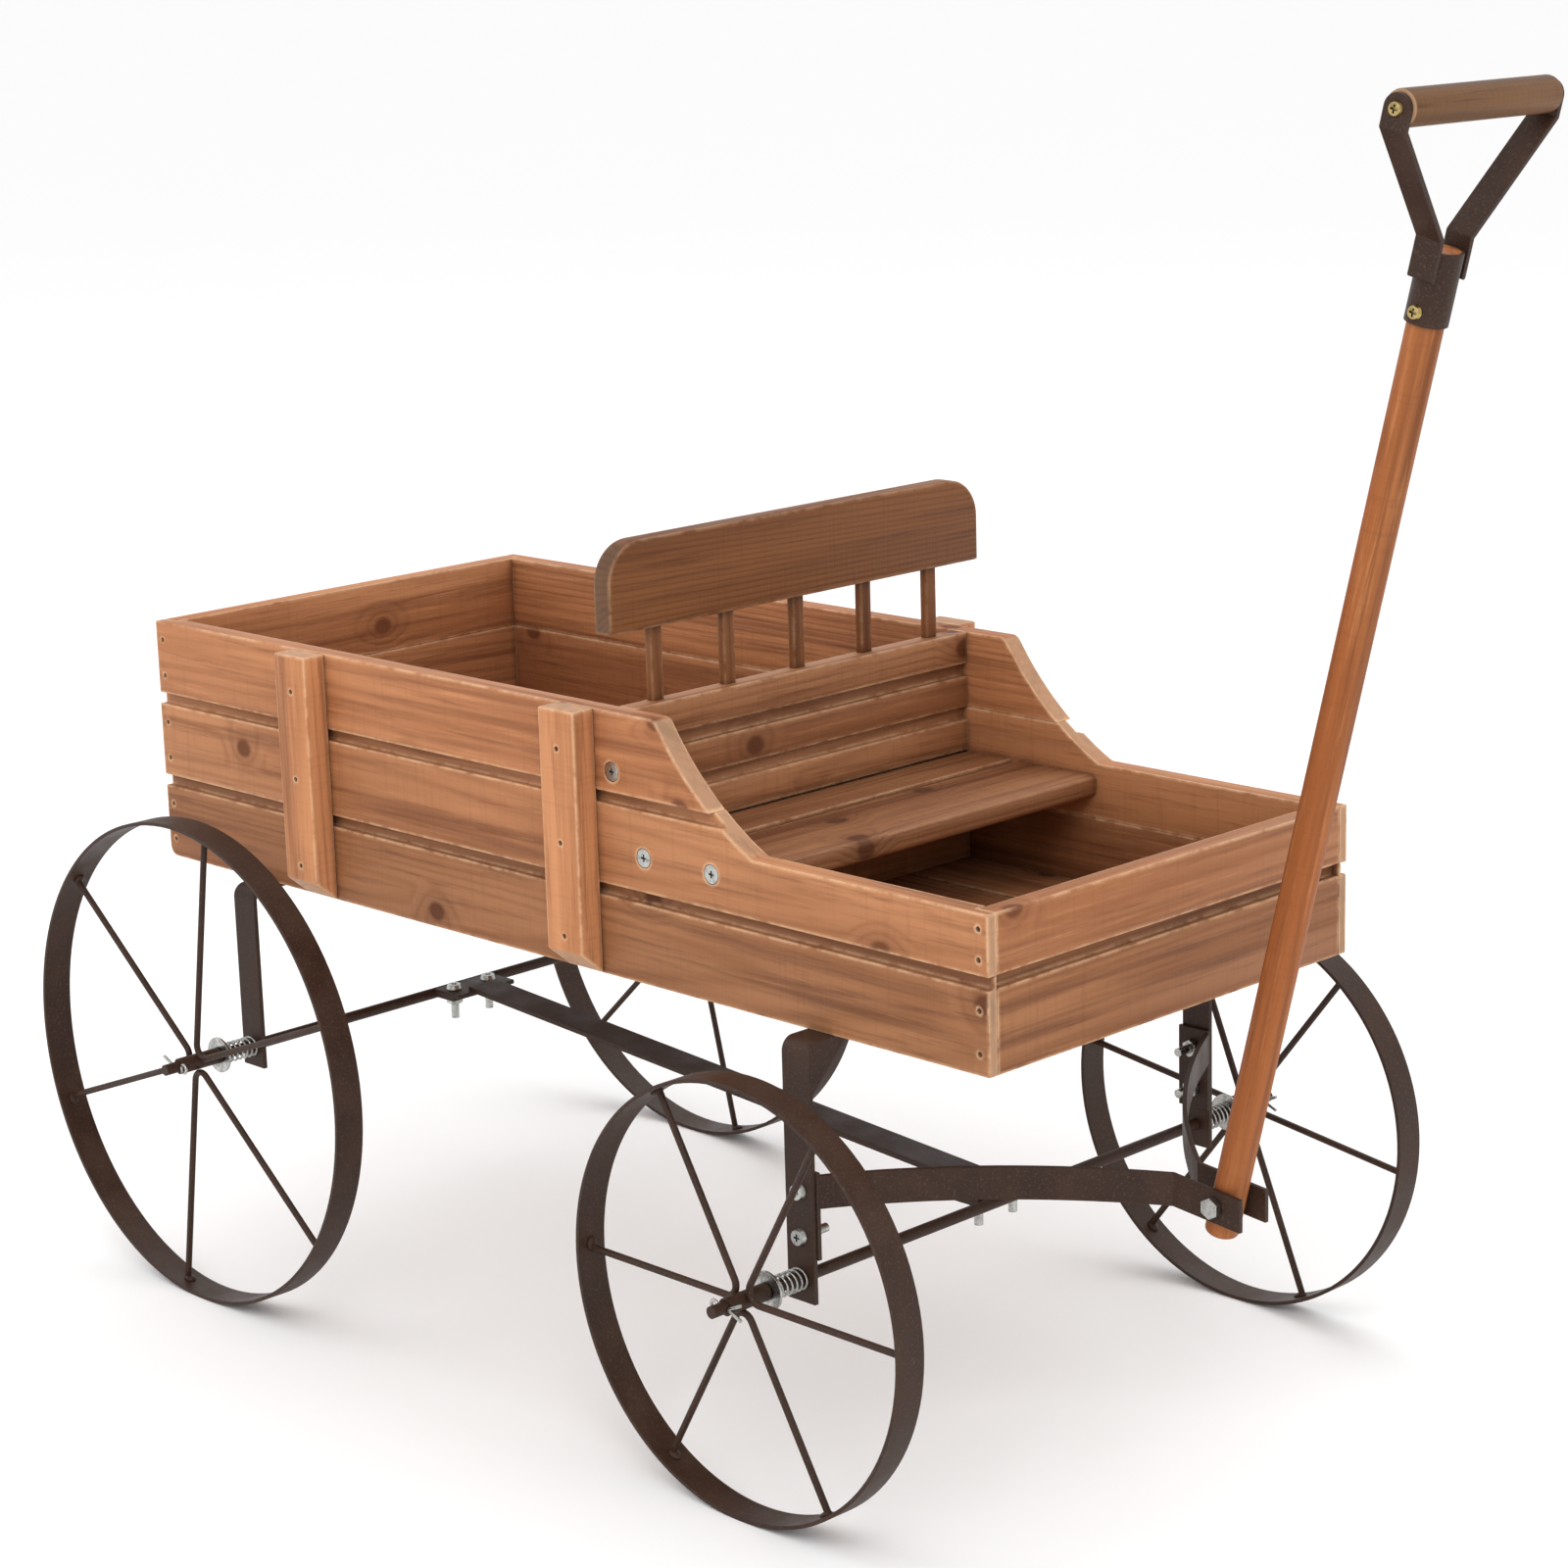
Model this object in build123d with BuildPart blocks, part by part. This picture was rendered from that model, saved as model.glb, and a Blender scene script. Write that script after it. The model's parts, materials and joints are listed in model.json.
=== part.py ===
"""Two-bed garden wagon: shiplap box with a bench, four sprung spoked wheels and a hinged pull handle.

+X points to the front, where the handle is, +Y to the left side and +Z up. The origin lies on the
ground, on the centre plane, half way between the back of the rear wheels and the front of the grip.
All sizes are in millimetres.
"""
from build123d import *
import os
from math import atan, cos, degrees, radians, sin, sqrt

# ---------------------------------------------------------------- driving dimensions: wooden box
box_length = 540.0
box_width = 226.8
box_bottom = 194.4          # height of the box above the ground
board = 10.0                # board thickness
face = 35.2                 # visible height of one lapped board
groove = 5.4                # visible height of the tongue between two boards
groove_depth = 3.5          # how far the tongue lies behind the face
lap = 4.0                   # hidden overlap of the tongue
rows = 3                    # boards in the full height of the rear bed
front_height = 65.6         # height of the low front bed
corner_end_grain = 5.0      # side board left standing beside the front and rear boards
bottom_corner_radius = 5.0

divider_front = 61.5        # front face of the divider, ahead of the middle of the box
divider_face = 14.4
divider_groove = 6.0
seat_height = 60.6          # top of the seat above the bottom of the box
seat_gap = 5.0
seat_rear_depth = 26.5
seat_front_depth = 46.0
seat_nose_radius = 3.0

cutout_top = 84.0           # where the side starts to curve down, ahead of the middle of the box
cutout_end = 140.0          # where the curve meets the low front bed
cutout_sag = 5.0
cutout_corner_radius = 4.0

back_face = 59.7            # front face of the backrest, ahead of the middle of the box
back_gap = 32.4             # opening under the backrest
back_height = 38.4
back_corner_radius = 18.0
slat_count = 5
slat_pitch = 42.5
slat_width = 6.5
slat_thickness = 4.0

batten_width = 22.5
batten_depth = 12.0
batten_bevel = 10.0
batten_places = {"front": 35.5, "rear": -149.0}
batten_edge = 0.8

floor_count = 5
floor_gap = 2.0

nail_radius = 0.9
nail_length = 24.0
nail_sink = 0.8
nail_spread = 9.0
batten_nail_inset = 17.0     # from each end of the batten

# ---------------------------------------------------------------- driving dimensions: running gear
rear_wheel_radius = 116.2
front_wheel_radius = 93.1
rear_axle_place = -192.0    # ahead of the middle of the box
front_axle_place = 177.4
rim_width = 14.6
rim_thickness = 1.6
wheel_plane = 161.1         # middle of the rim, from the centre plane
spoke_radius = 1.5
spoke_pair_angle = 60.0
hub_outer_radius = 3.8
hub_inside = 148.5          # inner end of the hub, from the centre plane
axle_radius = 2.6
axle_half_length = 179.0
spin_clearance = 0.08       # radial, hub on axle

spring_radius = 5.0         # outside radius of the coil
spring_wire_radius = 0.5
spring_turns = 6.5
washer_radius = 8.5
washer_thickness = 1.0
pin_radius = 0.75
pin_place = 172.0
pin_eye_radius = 1.9
pin_leg_length = 8.0
pin_leg_spread = 24.0

strap = 2.0                 # thickness of all flat iron
leg_width = 15.3
leg_outside = 128.0         # outer face of the bracket legs, from the centre plane
leg_below_axle = 10.2
leg_bend_radius = 6.0
gusset = 20.0

tab_width = 36.0
tab_depth = 15.0
tee_depth = 18.0
reach_width = 17.5
reach_overlap = 3.0
reach_bolt_spacing = 22.0
reach_bolt_place = 9.0      # from the axle

# ---------------------------------------------------------------- driving dimensions: drawbar and handle
leg_bolt_heights = (110.8, 130.3)
plate_width = 16.6
plate_margin = 9.0
bar_height = 14.0
bar_start_height = 131.0
bar_bend_place = 275.0      # ahead of the middle of the box
bar_end_place = 310.0
bar_sag = 8.0

pivot_place = 296.8         # ahead of the middle of the box
pivot_height = 119.5
handle_lean = 14.2
shaft_radius = 7.1
shaft_foot = 15.0
grip_distance = 458.0       # pivot to grip
grip_radius = 7.0
grip_length = 91.0
shaft_foot_chamfer = 1.0
socket_top = 403.0          # pivot to the top of the socket
socket_wall = 1.2
socket_length = 28.0
arm_width = 11.4
arm_overlap = 10.0
arm_neck = 5.0
arm_knee = 7.5              # bend below the grip's axis

# ---------------------------------------------------------------- driving dimensions: fasteners
bolt_radius = 2.0
bolt_length = 15.0
bolt_head_radius = 4.0
bolt_head_height = 2.2
nut_flats = 7.0
nut_height = 3.2
floor_bolt_place = 87.0     # from the centre plane
wood_screw_radius = 1.8
wood_screw_length = 28.0
wood_screw_head_radius = 4.1
countersink_angle = 90.0
recess_width = 0.9          # cross recess in the screw heads
recess_length = 3.2
recess_depth = 1.0
pan_head_taper = 20.0
pivot_bolt_radius = 2.5
pivot_head_flats = 8.0
pivot_head_height = 3.5
handle_screw_radius = 1.6
handle_screw_length = 14.0
handle_screw_head_radius = 3.0
handle_screw_head_height = 1.6

# ---------------------------------------------------------------- clearances
fit = 0.05                  # radial, a fixed shank in its hole
weld_gap = 0.05             # between parts that are welded together
lap_play = 0.1              # between a tongue and the rebate over it
side_play = 0.3             # between a moving part and its neighbour

# ---------------------------------------------------------------- derived places
lean = radians(handle_lean)
grip_reach = grip_distance * sin(lean)
overall_back = rear_axle_place - rear_wheel_radius
overall_front = pivot_place + grip_reach + grip_radius
box_x = -(overall_back + overall_front) / 2

x_rear = box_x - box_length / 2
x_front = box_x + box_length / 2
rear_axle_x = box_x + rear_axle_place
front_axle_x = box_x + front_axle_place
pivot_x = box_x + pivot_place

y_out = box_width / 2
y_in = y_out - board
pitch = face + groove
box_top = box_bottom + rows * face + (rows - 1) * groove
front_top = box_bottom + front_height
floor_top = box_bottom + board
divider_x = box_x + divider_front
seat_top = box_bottom + seat_height
back_bottom = box_top + back_gap
back_x = box_x + back_face
slat_tenon = divider_face - lap - lap_play

leg_inside = leg_outside - strap
bar_centre = shaft_radius + side_play + strap / 2
bar_face = bar_centre + strap / 2
axle_heights = {"rear": rear_wheel_radius, "front": front_wheel_radius}
axle_places = {"rear": rear_axle_x, "front": front_axle_x}
wheel_radii = {"rear": rear_wheel_radius, "front": front_wheel_radius}
sides = {"right": -1, "left": 1}
handle_plane = Plane(
    origin=(pivot_x, 0, pivot_height), x_dir=(cos(lean), 0, -sin(lean)), z_dir=(sin(lean), 0, cos(lean))
)

os.makedirs("parts", exist_ok=True)


def write(name, piece):
    """Label a finished piece and write it as one STEP file."""
    piece.part.label = name
    export_step(piece.part, f"parts/{name}.step")


# ---------------------------------------------------------------- shared outlines
def wall_rows(bottom, top):
    """Lower and upper edge of each visible board face, from the bottom of a wall to its top."""
    edges = []
    low = bottom
    while low < top - groove:
        edges.append((low, min(low + face, top)))
        low += pitch
    return edges


def lapped_outline(plane, out, inward, low, high, rebated, tongued, step=groove):
    """Cross-section of one shiplap board: a face, a tongue above it and a rebate behind its foot."""
    back = out + inward * board
    shoulder = out + inward * groove_depth
    tongue = shoulder + inward * lap_play
    points = [(out, low), (out, high)]
    if tongued:
        tongue_top = high + step + lap - lap_play
        points += [(tongue, high), (tongue, tongue_top), (back, tongue_top)]
    else:
        points += [(back, high)]
    if rebated:
        points += [(back, low + lap), (shoulder, low + lap), (shoulder, low)]
    else:
        points += [(back, low)]
    with BuildSketch(plane) as outline:
        with BuildLine():
            Polyline(*points, close=True)
        make_face()
    return outline.sketch


def hole_along_y(radius, places, start, end):
    """Drill holes along Y at the given (x, z) places, from y = start to y = end."""
    with BuildSketch(Plane.XZ.offset(-start)) as circles:
        with Locations(*places):
            Circle(radius)
    extrude(circles.sketch, amount=-(end - start), mode=Mode.SUBTRACT)


def nail_places(x, low, high):
    """The two nails that hold the end of one board."""
    middle = (low + high) / 2
    spread = min(nail_spread, (high - low) / 4)
    return [(x, middle - spread), (x, middle + spread)]


# ---------------------------------------------------------------- nails and screws through the sides
front_nail_x = x_front - board / 2
rear_nail_x = x_rear + board / 2
front_nails = [
    place for low, high in wall_rows(box_bottom, front_top) for place in nail_places(front_nail_x, low, high)
]
rear_nails = [
    place for low, high in wall_rows(box_bottom, box_top) for place in nail_places(rear_nail_x, low, high)
]
batten_nails = [
    (box_x + place, height)
    for place in batten_places.values()
    for height in (box_bottom + batten_nail_inset, (box_bottom + box_top) / 2, box_top - batten_nail_inset)
]
seat_rear_x = divider_x + seat_rear_depth / 2
seat_front_x = divider_x + seat_rear_depth + seat_gap + seat_front_depth / 2
seat_middle = seat_top - board / 2
divider_screw_height = box_top - divider_face - divider_groove - divider_face / 2 + 1.5
side_screws = [
    (divider_x - board / 2, divider_screw_height),
    (seat_rear_x, seat_middle),
    (seat_front_x, seat_middle),
]


# ---------------------------------------------------------------- side boards
def cutout():
    """Cut the sides down to the low front bed along a hollow curve with a rounded shoulder."""
    run = cutout_end - cutout_top
    drop = box_top - front_top
    chord = sqrt(run**2 + drop**2)
    turn = atan(drop / run) + 2 * atan(2 * cutout_sag / chord)
    shoulder_end = (box_x + cutout_top, box_top - cutout_corner_radius * (1 - cos(turn)))
    shoulder_start = (box_x + cutout_top - cutout_corner_radius * sin(turn), box_top)
    middle = (
        box_x + cutout_top + run / 2 - cutout_sag * drop / chord,
        box_top - drop / 2 - cutout_sag * run / chord,
    )
    end = (box_x + cutout_end, front_top)
    above = box_top + board
    with BuildSketch(Plane.XZ) as outline:
        with BuildLine():
            Line((shoulder_start[0], above), shoulder_start)
            JernArc(shoulder_start, (1, 0), cutout_corner_radius, -degrees(turn))
            ThreePointArc(shoulder_end, middle, end)
            Polyline(end, (x_front + board, front_top), (x_front + board, above), (shoulder_start[0], above))
        make_face()
    extrude(outline.sketch, amount=box_width, both=True, mode=Mode.SUBTRACT)


def round_bottom_corner():
    """Round the lower rear corner of the side."""
    corner = (x_rear + bottom_corner_radius, box_bottom + bottom_corner_radius)
    with BuildSketch(Plane.XZ) as waste:
        with Locations(corner):
            Rectangle(2 * bottom_corner_radius, 2 * bottom_corner_radius, align=(Align.MAX, Align.MAX))
            Circle(bottom_corner_radius, mode=Mode.SUBTRACT)
    extrude(waste.sketch, amount=box_width, both=True, mode=Mode.SUBTRACT)


def side_board(low, high, first, last):
    """One lapped board of the right side, with its end rebates, cut-out and drilled holes."""
    with BuildPart() as piece:
        extrude(
            lapped_outline(Plane.YZ.offset(x_rear), -y_out, 1, low, high, not first, not last),
            amount=box_length,
        )
        for end_x in (x_rear + board / 2, x_front - board / 2):
            with BuildSketch(Plane.XY.offset(box_bottom)):
                with Locations((end_x, -y_in - (board - corner_end_grain) / 2)):
                    Rectangle(board, board - corner_end_grain)
            extrude(amount=box_top - box_bottom, mode=Mode.SUBTRACT)
        cutout()
        if first:
            round_bottom_corner()
        hole_along_y(nail_radius + fit, front_nails + rear_nails + batten_nails, -y_out, -y_in)
        for x, z in side_screws:
            if low < z < high:
                with Locations(Plane((x, -y_out, z), x_dir=(1, 0, 0), z_dir=(0, -1, 0))):
                    CounterSinkHole(
                        wood_screw_radius + fit,
                        wood_screw_head_radius + fit,
                        depth=2 * board,
                        counter_sink_angle=countersink_angle,
                    )
    return piece


side_rows = wall_rows(box_bottom, box_top)
row_names = ["bottom", "middle", "top"] if rows == 3 else [f"row_{index}" for index in range(rows)]
for index, (low, high) in enumerate(side_rows):
    right = side_board(low, high, index == 0, index == len(side_rows) - 1)
    write(f"side_board_{row_names[index]}_right", right)
    with BuildPart() as left:
        mirror(right.part, about=Plane.XZ)
    write(f"side_board_{row_names[index]}_left", left)


# ---------------------------------------------------------------- front and rear boards
def end_board(out_x, inward, low, high, first, last, nails):
    """One lapped board of the front or rear wall, let into the rebates of the sides."""
    half = y_out - corner_end_grain
    with BuildPart() as piece:
        extrude(
            lapped_outline(Plane.XZ.offset(-half), out_x, inward, low, high, not first, not last),
            amount=2 * half,
        )
        for start in (-half, half - nail_length):
            hole_along_y(nail_radius + fit, nails, start, start + nail_length)
    return piece


for index, (low, high) in enumerate(side_rows):
    rear = end_board(x_rear, 1, low, high, index == 0, index == len(side_rows) - 1, rear_nails)
    write(f"rear_board_{row_names[index]}", rear)

front_rows = wall_rows(box_bottom, front_top)
for index, (low, high) in enumerate(front_rows):
    front = end_board(x_front, -1, low, high, index == 0, index == len(front_rows) - 1, front_nails)
    write(f"front_board_{row_names[index]}", front)

# ---------------------------------------------------------------- floor boards
floor_width = (2 * y_in - (floor_count - 1) * floor_gap) / floor_count
floor_bolts = [(x, side * floor_bolt_place) for x in (rear_axle_x, front_axle_x) for side in (-1, 1)]
with BuildPart() as floor_boards:
    with BuildSketch(Plane.XY.offset(box_bottom)):
        with Locations((box_x, 0)):
            with GridLocations(0, floor_width + floor_gap, 1, floor_count):
                Rectangle(box_length - 2 * board, floor_width)
    extrude(amount=board)
    with BuildSketch(Plane.XY.offset(box_bottom)):
        with Locations(*floor_bolts):
            Circle(bolt_radius + fit)
    extrude(amount=board, mode=Mode.SUBTRACT)
write("floor_boards", floor_boards)

# ---------------------------------------------------------------- divider between the beds
divider_pitch = divider_face + divider_groove
divider_rows = int((box_top - floor_top) // divider_pitch)
slat_places = [slat_pitch * (index - (slat_count - 1) / 2) for index in range(slat_count)]
slat_x = back_x - board / 2


def slat_mortises(height, depth):
    """Cut the row of mortises for the backrest slats, up or down from a height."""
    with BuildSketch(Plane.XY.offset(height)) as mortises:
        with Locations(*[(slat_x, y) for y in slat_places]):
            Rectangle(slat_thickness, slat_width)
    extrude(mortises.sketch, amount=depth, mode=Mode.SUBTRACT)


with BuildPart() as divider_boards:
    for index in range(divider_rows):
        high = box_top - index * divider_pitch
        low = floor_top if index == divider_rows - 1 else high - divider_face
        rebated = index < divider_rows - 1
        outline = lapped_outline(
            Plane.XZ.offset(-y_in), divider_x, -1, low, high, rebated, index > 0, divider_groove
        )
        extrude(outline, amount=2 * y_in)
    slat_mortises(box_top, -slat_tenon)
    for start in (-y_in, y_in - wood_screw_length):
        hole_along_y(wood_screw_radius + fit, side_screws[:1], start, start + wood_screw_length)
write("divider_boards", divider_boards)


# ---------------------------------------------------------------- seat
def seat_board(rear_x, depth, screw, nose):
    """One board of the bench, screwed through both sides."""
    with BuildPart() as piece:
        with BuildSketch(Plane.XY.offset(seat_top - board)):
            with Locations((rear_x + depth / 2, 0)):
                Rectangle(depth, 2 * y_in)
        extrude(amount=board)
        if nose:
            front = piece.faces().sort_by(Axis.X)[-1].edges().filter_by(Axis.Y)
            fillet(front, radius=seat_nose_radius)
        for start in (-y_in, y_in - wood_screw_length):
            hole_along_y(wood_screw_radius + fit, [screw], start, start + wood_screw_length)
    return piece


write("seat_board_rear", seat_board(divider_x, seat_rear_depth, side_screws[1], False))
write(
    "seat_board_front",
    seat_board(divider_x + seat_rear_depth + seat_gap, seat_front_depth, side_screws[2], True),
)

# ---------------------------------------------------------------- backrest on its slats
with BuildPart() as backrest_board:
    with BuildSketch(Plane.YZ.offset(back_x - board)):
        with Locations((0, back_bottom + back_height / 2)):
            Rectangle(box_width, back_height)
    extrude(amount=board)
    fillet(backrest_board.edges().filter_by(Axis.X).group_by(Axis.Z)[-1], radius=back_corner_radius)
    slat_mortises(back_bottom, slat_tenon)
write("backrest_board", backrest_board)

with BuildPart() as back_slats:
    with BuildSketch(Plane.XY.offset(box_top - slat_tenon)):
        with Locations(*[(slat_x, y) for y in slat_places]):
            Rectangle(slat_thickness, slat_width)
    extrude(amount=back_gap + 2 * slat_tenon)
write("back_slats", back_slats)


# ---------------------------------------------------------------- battens on the sides
def batten(place):
    """One upright batten on the right side, its foot bevelled back to the box."""
    with BuildPart() as piece:
        with BuildSketch(Plane.YZ.offset(box_x + place - batten_width / 2)):
            with BuildLine():
                Polyline(
                    (-y_out, box_bottom),
                    (-y_out - batten_depth, box_bottom + batten_bevel),
                    (-y_out - batten_depth, box_top),
                    (-y_out, box_top),
                    close=True,
                )
            make_face()
        extrude(amount=batten_width)
        chamfer(piece.faces().sort_by(Axis.Y)[0].edges().filter_by(Axis.Z), length=batten_edge)
        hole_along_y(nail_radius + fit, batten_nails, -y_out - batten_depth, -y_out)
    return piece


for place_name, place in batten_places.items():
    right = batten(place)
    write(f"batten_{place_name}_right", right)
    with BuildPart() as left:
        mirror(right.part, about=Plane.XZ)
    write(f"batten_{place_name}_left", left)

# ---------------------------------------------------------------- nails
with BuildPart() as box_nails:
    for places, outside in (
        (front_nails + rear_nails, y_out),
        (batten_nails, y_out + batten_depth),
    ):
        length = nail_length if outside == y_out else batten_depth + board
        for side in (-1, 1):
            head = side * (outside - nail_sink)
            with BuildSketch(Plane.XZ.offset(-head)):
                with Locations(*places):
                    Circle(nail_radius)
            extrude(amount=side * (length - nail_sink))
write("box_nails", box_nails)


# ---------------------------------------------------------------- axles, brackets and reach bar
def axle(name, toward):
    """Axle rod with a flat tab for the reach bar welded to its middle."""
    x, z = axle_places[name], axle_heights[name]
    with BuildPart() as piece:
        with BuildSketch(Plane.XZ.offset(-axle_half_length)):
            with Locations((x, z)):
                Circle(axle_radius)
        extrude(amount=2 * axle_half_length)
        with BuildSketch(Plane.XY.offset(z - strap / 2)):
            with Locations((x + toward * (axle_radius / 2 + tab_depth / 2), 0)):
                Rectangle(tab_depth, tab_width)
        extrude(amount=strap)
        with BuildSketch(Plane.XY.offset(z - strap / 2)):
            with Locations((x + toward * reach_bolt_place, 0)):
                with GridLocations(0, reach_bolt_spacing, 1, 2):
                    Circle(bolt_radius + fit)
        extrude(amount=strap, mode=Mode.SUBTRACT)
        with BuildSketch(Plane.YZ.offset(x - axle_radius)):
            with Locations((-pin_place, z), (pin_place, z)):
                Circle(pin_radius + fit)
        extrude(amount=2 * axle_radius, mode=Mode.SUBTRACT)
    return piece


def bracket(name, gusseted):
    """U-shaped flat iron under the box, whose two legs carry the axle."""
    x, z = axle_places[name], axle_heights[name]
    foot = z - leg_below_axle
    height = box_bottom - foot
    with BuildPart() as piece:
        with BuildSketch(Plane.YZ.offset(x - leg_width / 2)) as outline:
            with Locations((0, foot + height / 2)):
                Rectangle(2 * leg_outside, height)
            fillet(outline.vertices().group_by(Axis.Y)[-1], radius=leg_bend_radius)
            with BuildSketch(mode=Mode.SUBTRACT) as hollow:
                with Locations((0, foot + (height - strap) / 2)):
                    Rectangle(2 * leg_inside, height - strap)
                fillet(hollow.vertices().group_by(Axis.Y)[-1], radius=leg_bend_radius - strap)
        extrude(amount=leg_width)
        if gusseted:
            for side in (-1, 1):
                with BuildSketch(Plane.YZ.offset(x + leg_width / 2 - strap)):
                    with BuildLine():
                        Polyline(
                            (side * (leg_inside + strap / 2), box_bottom - strap / 2),
                            (side * (leg_inside - gusset), box_bottom - strap / 2),
                            (side * (leg_inside - gusset), box_bottom - strap),
                            (side * leg_inside, box_bottom - strap - gusset),
                            (side * (leg_inside + strap / 2), box_bottom - strap - gusset),
                            close=True,
                        )
                    make_face()
                extrude(amount=strap)
            leg_bolts = [(x, bolt_height) for bolt_height in leg_bolt_heights]
            hole_along_y(bolt_radius + fit, leg_bolts, -leg_outside, leg_outside)
        hole_along_y(axle_radius + fit, [(x, z)], -leg_outside, leg_outside)
        with BuildSketch(Plane.XY.offset(box_bottom - strap)):
            with Locations((x, -floor_bolt_place), (x, floor_bolt_place)):
                Circle(bolt_radius + fit)
        extrude(amount=strap, mode=Mode.SUBTRACT)
    return piece


write("rear_axle", axle("rear", 1))
write("front_axle", axle("front", -1))
write("rear_bracket", bracket("rear", False))
write("front_bracket", bracket("front", True))

tee_inner = tee_depth + axle_radius
rear_tee_end = rear_axle_x + tee_inner
front_tee_end = front_axle_x - tee_inner
rear_tee_top = axle_heights["rear"] + 1.5 * strap
front_tee_top = axle_heights["front"] + 1.5 * strap
with BuildPart() as reach_bar:
    for name, toward in (("rear", 1), ("front", -1)):
        with BuildSketch(Plane.XY.offset(axle_heights[name] + strap / 2)):
            with Locations((axle_places[name] + toward * (axle_radius + tee_depth / 2), 0)):
                Rectangle(tee_depth, tab_width)
            with Locations((axle_places[name] + toward * reach_bolt_place, 0)):
                with GridLocations(0, reach_bolt_spacing, 1, 2):
                    Circle(bolt_radius + fit, mode=Mode.SUBTRACT)
        extrude(amount=strap)
    with BuildSketch(Plane.XZ):
        with BuildLine():
            Polyline(
                (rear_tee_end - reach_overlap, rear_tee_top - strap / 4),
                (rear_tee_end - reach_overlap, rear_tee_top + strap),
                (front_tee_end + reach_overlap, front_tee_top + strap),
                (front_tee_end + reach_overlap, front_tee_top - strap / 4),
                close=True,
            )
        make_face()
    extrude(amount=reach_width / 2, both=True)
write("reach_bar", reach_bar)

# ---------------------------------------------------------------- drawbar
bar_start_x = front_axle_x + plate_width / 2 - strap / 2
bar_start_y = leg_inside - strap / 2
bend_x = box_x + bar_bend_place
bar_end_x = box_x + bar_end_place
bar_slope = (pivot_height - bar_start_height) / (pivot_x - bar_start_x)
with BuildPart() as drawbar_right:
    start = (bar_start_x, -bar_start_y)
    bend = (bend_x, -bar_centre)
    chord = sqrt((bend[0] - start[0]) ** 2 + (bend[1] - start[1]) ** 2)
    hollow_point = (
        (start[0] + bend[0]) / 2 - bar_sag * (bend[1] - start[1]) / chord,
        (start[1] + bend[1]) / 2 + bar_sag * (bend[0] - start[0]) / chord,
    )
    with BuildSketch(Plane.XY):
        with BuildLine():
            ThreePointArc(start, hollow_point, bend)
            Line(bend, (bar_end_x + strap, -bar_centre))
            offset(amount=strap / 2, side=Side.BOTH)
        make_face()
    extrude(amount=box_bottom)
    with BuildSketch(Plane.XZ):
        with BuildLine():
            low_start = bar_start_height - bar_height / 2 - bar_slope * plate_width
            low_end = bar_start_height - bar_height / 2 + bar_slope * (bar_end_x - bar_start_x)
            Polyline(
                (bar_start_x - plate_width, low_start),
                (bar_end_x, low_end),
                (bar_end_x, low_end + bar_height),
                (bar_start_x - plate_width, low_start + bar_height),
                close=True,
            )
        make_face()
    extrude(amount=box_width, both=True, mode=Mode.INTERSECT)
    plate_low = min(leg_bolt_heights) - plate_margin
    plate_high = max(leg_bolt_heights) + plate_margin
    with BuildSketch(Plane.XZ.offset(leg_inside - strap)):
        with Locations((front_axle_x, (plate_low + plate_high) / 2)):
            Rectangle(plate_width, plate_high - plate_low)
        with Locations(*[(front_axle_x, height) for height in leg_bolt_heights]):
            Circle(bolt_radius + fit, mode=Mode.SUBTRACT)
    extrude(amount=strap)
    hole_along_y(pivot_bolt_radius + fit, [(pivot_x, pivot_height)], -2 * bar_centre, 0)
write("drawbar_right", drawbar_right)
with BuildPart() as drawbar_left:
    mirror(drawbar_right.part, about=Plane.XZ)
write("drawbar_left", drawbar_left)


# ---------------------------------------------------------------- wheels
spoke_phases = {"rear_right": 20.5, "rear_left": -16.5, "front_right": 0.0, "front_left": -8.0}
elbow_radius = hub_outer_radius + spoke_radius + weld_gap
hub_outside = pin_place - pin_radius - side_play
washer_outside = hub_inside - side_play
washer_inside = washer_outside - washer_thickness


def ring_along_y(x, z, outer, inner, start, end):
    """Tube along Y between two places."""
    with BuildSketch(Plane.XZ.offset(-start)) as ring:
        with Locations((x, z)):
            Circle(outer)
            Circle(inner, mode=Mode.SUBTRACT)
    extrude(ring.sketch, amount=-(end - start))


def spokes(x, y, z, radius, phase):
    """Three rods, each bent around the hub into a pair of spokes."""
    reach = radius - rim_thickness - weld_gap
    with BuildPart() as piece:
        for index in range(3):
            first = radians(phase + index * 2 * spoke_pair_angle)
            second = first + radians(spoke_pair_angle)
            tip = (x + reach * cos(first), y, z + reach * sin(first))
            other = (x + reach * cos(second), y, z + reach * sin(second))
            with BuildLine() as path:
                FilletPolyline(tip, (x, y, z), other, radius=elbow_radius)
            with BuildSketch(Plane(origin=tip, z_dir=(-cos(first), 0, -sin(first)))):
                Circle(spoke_radius)
            sweep(path=path.wires()[0])
    return piece


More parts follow.
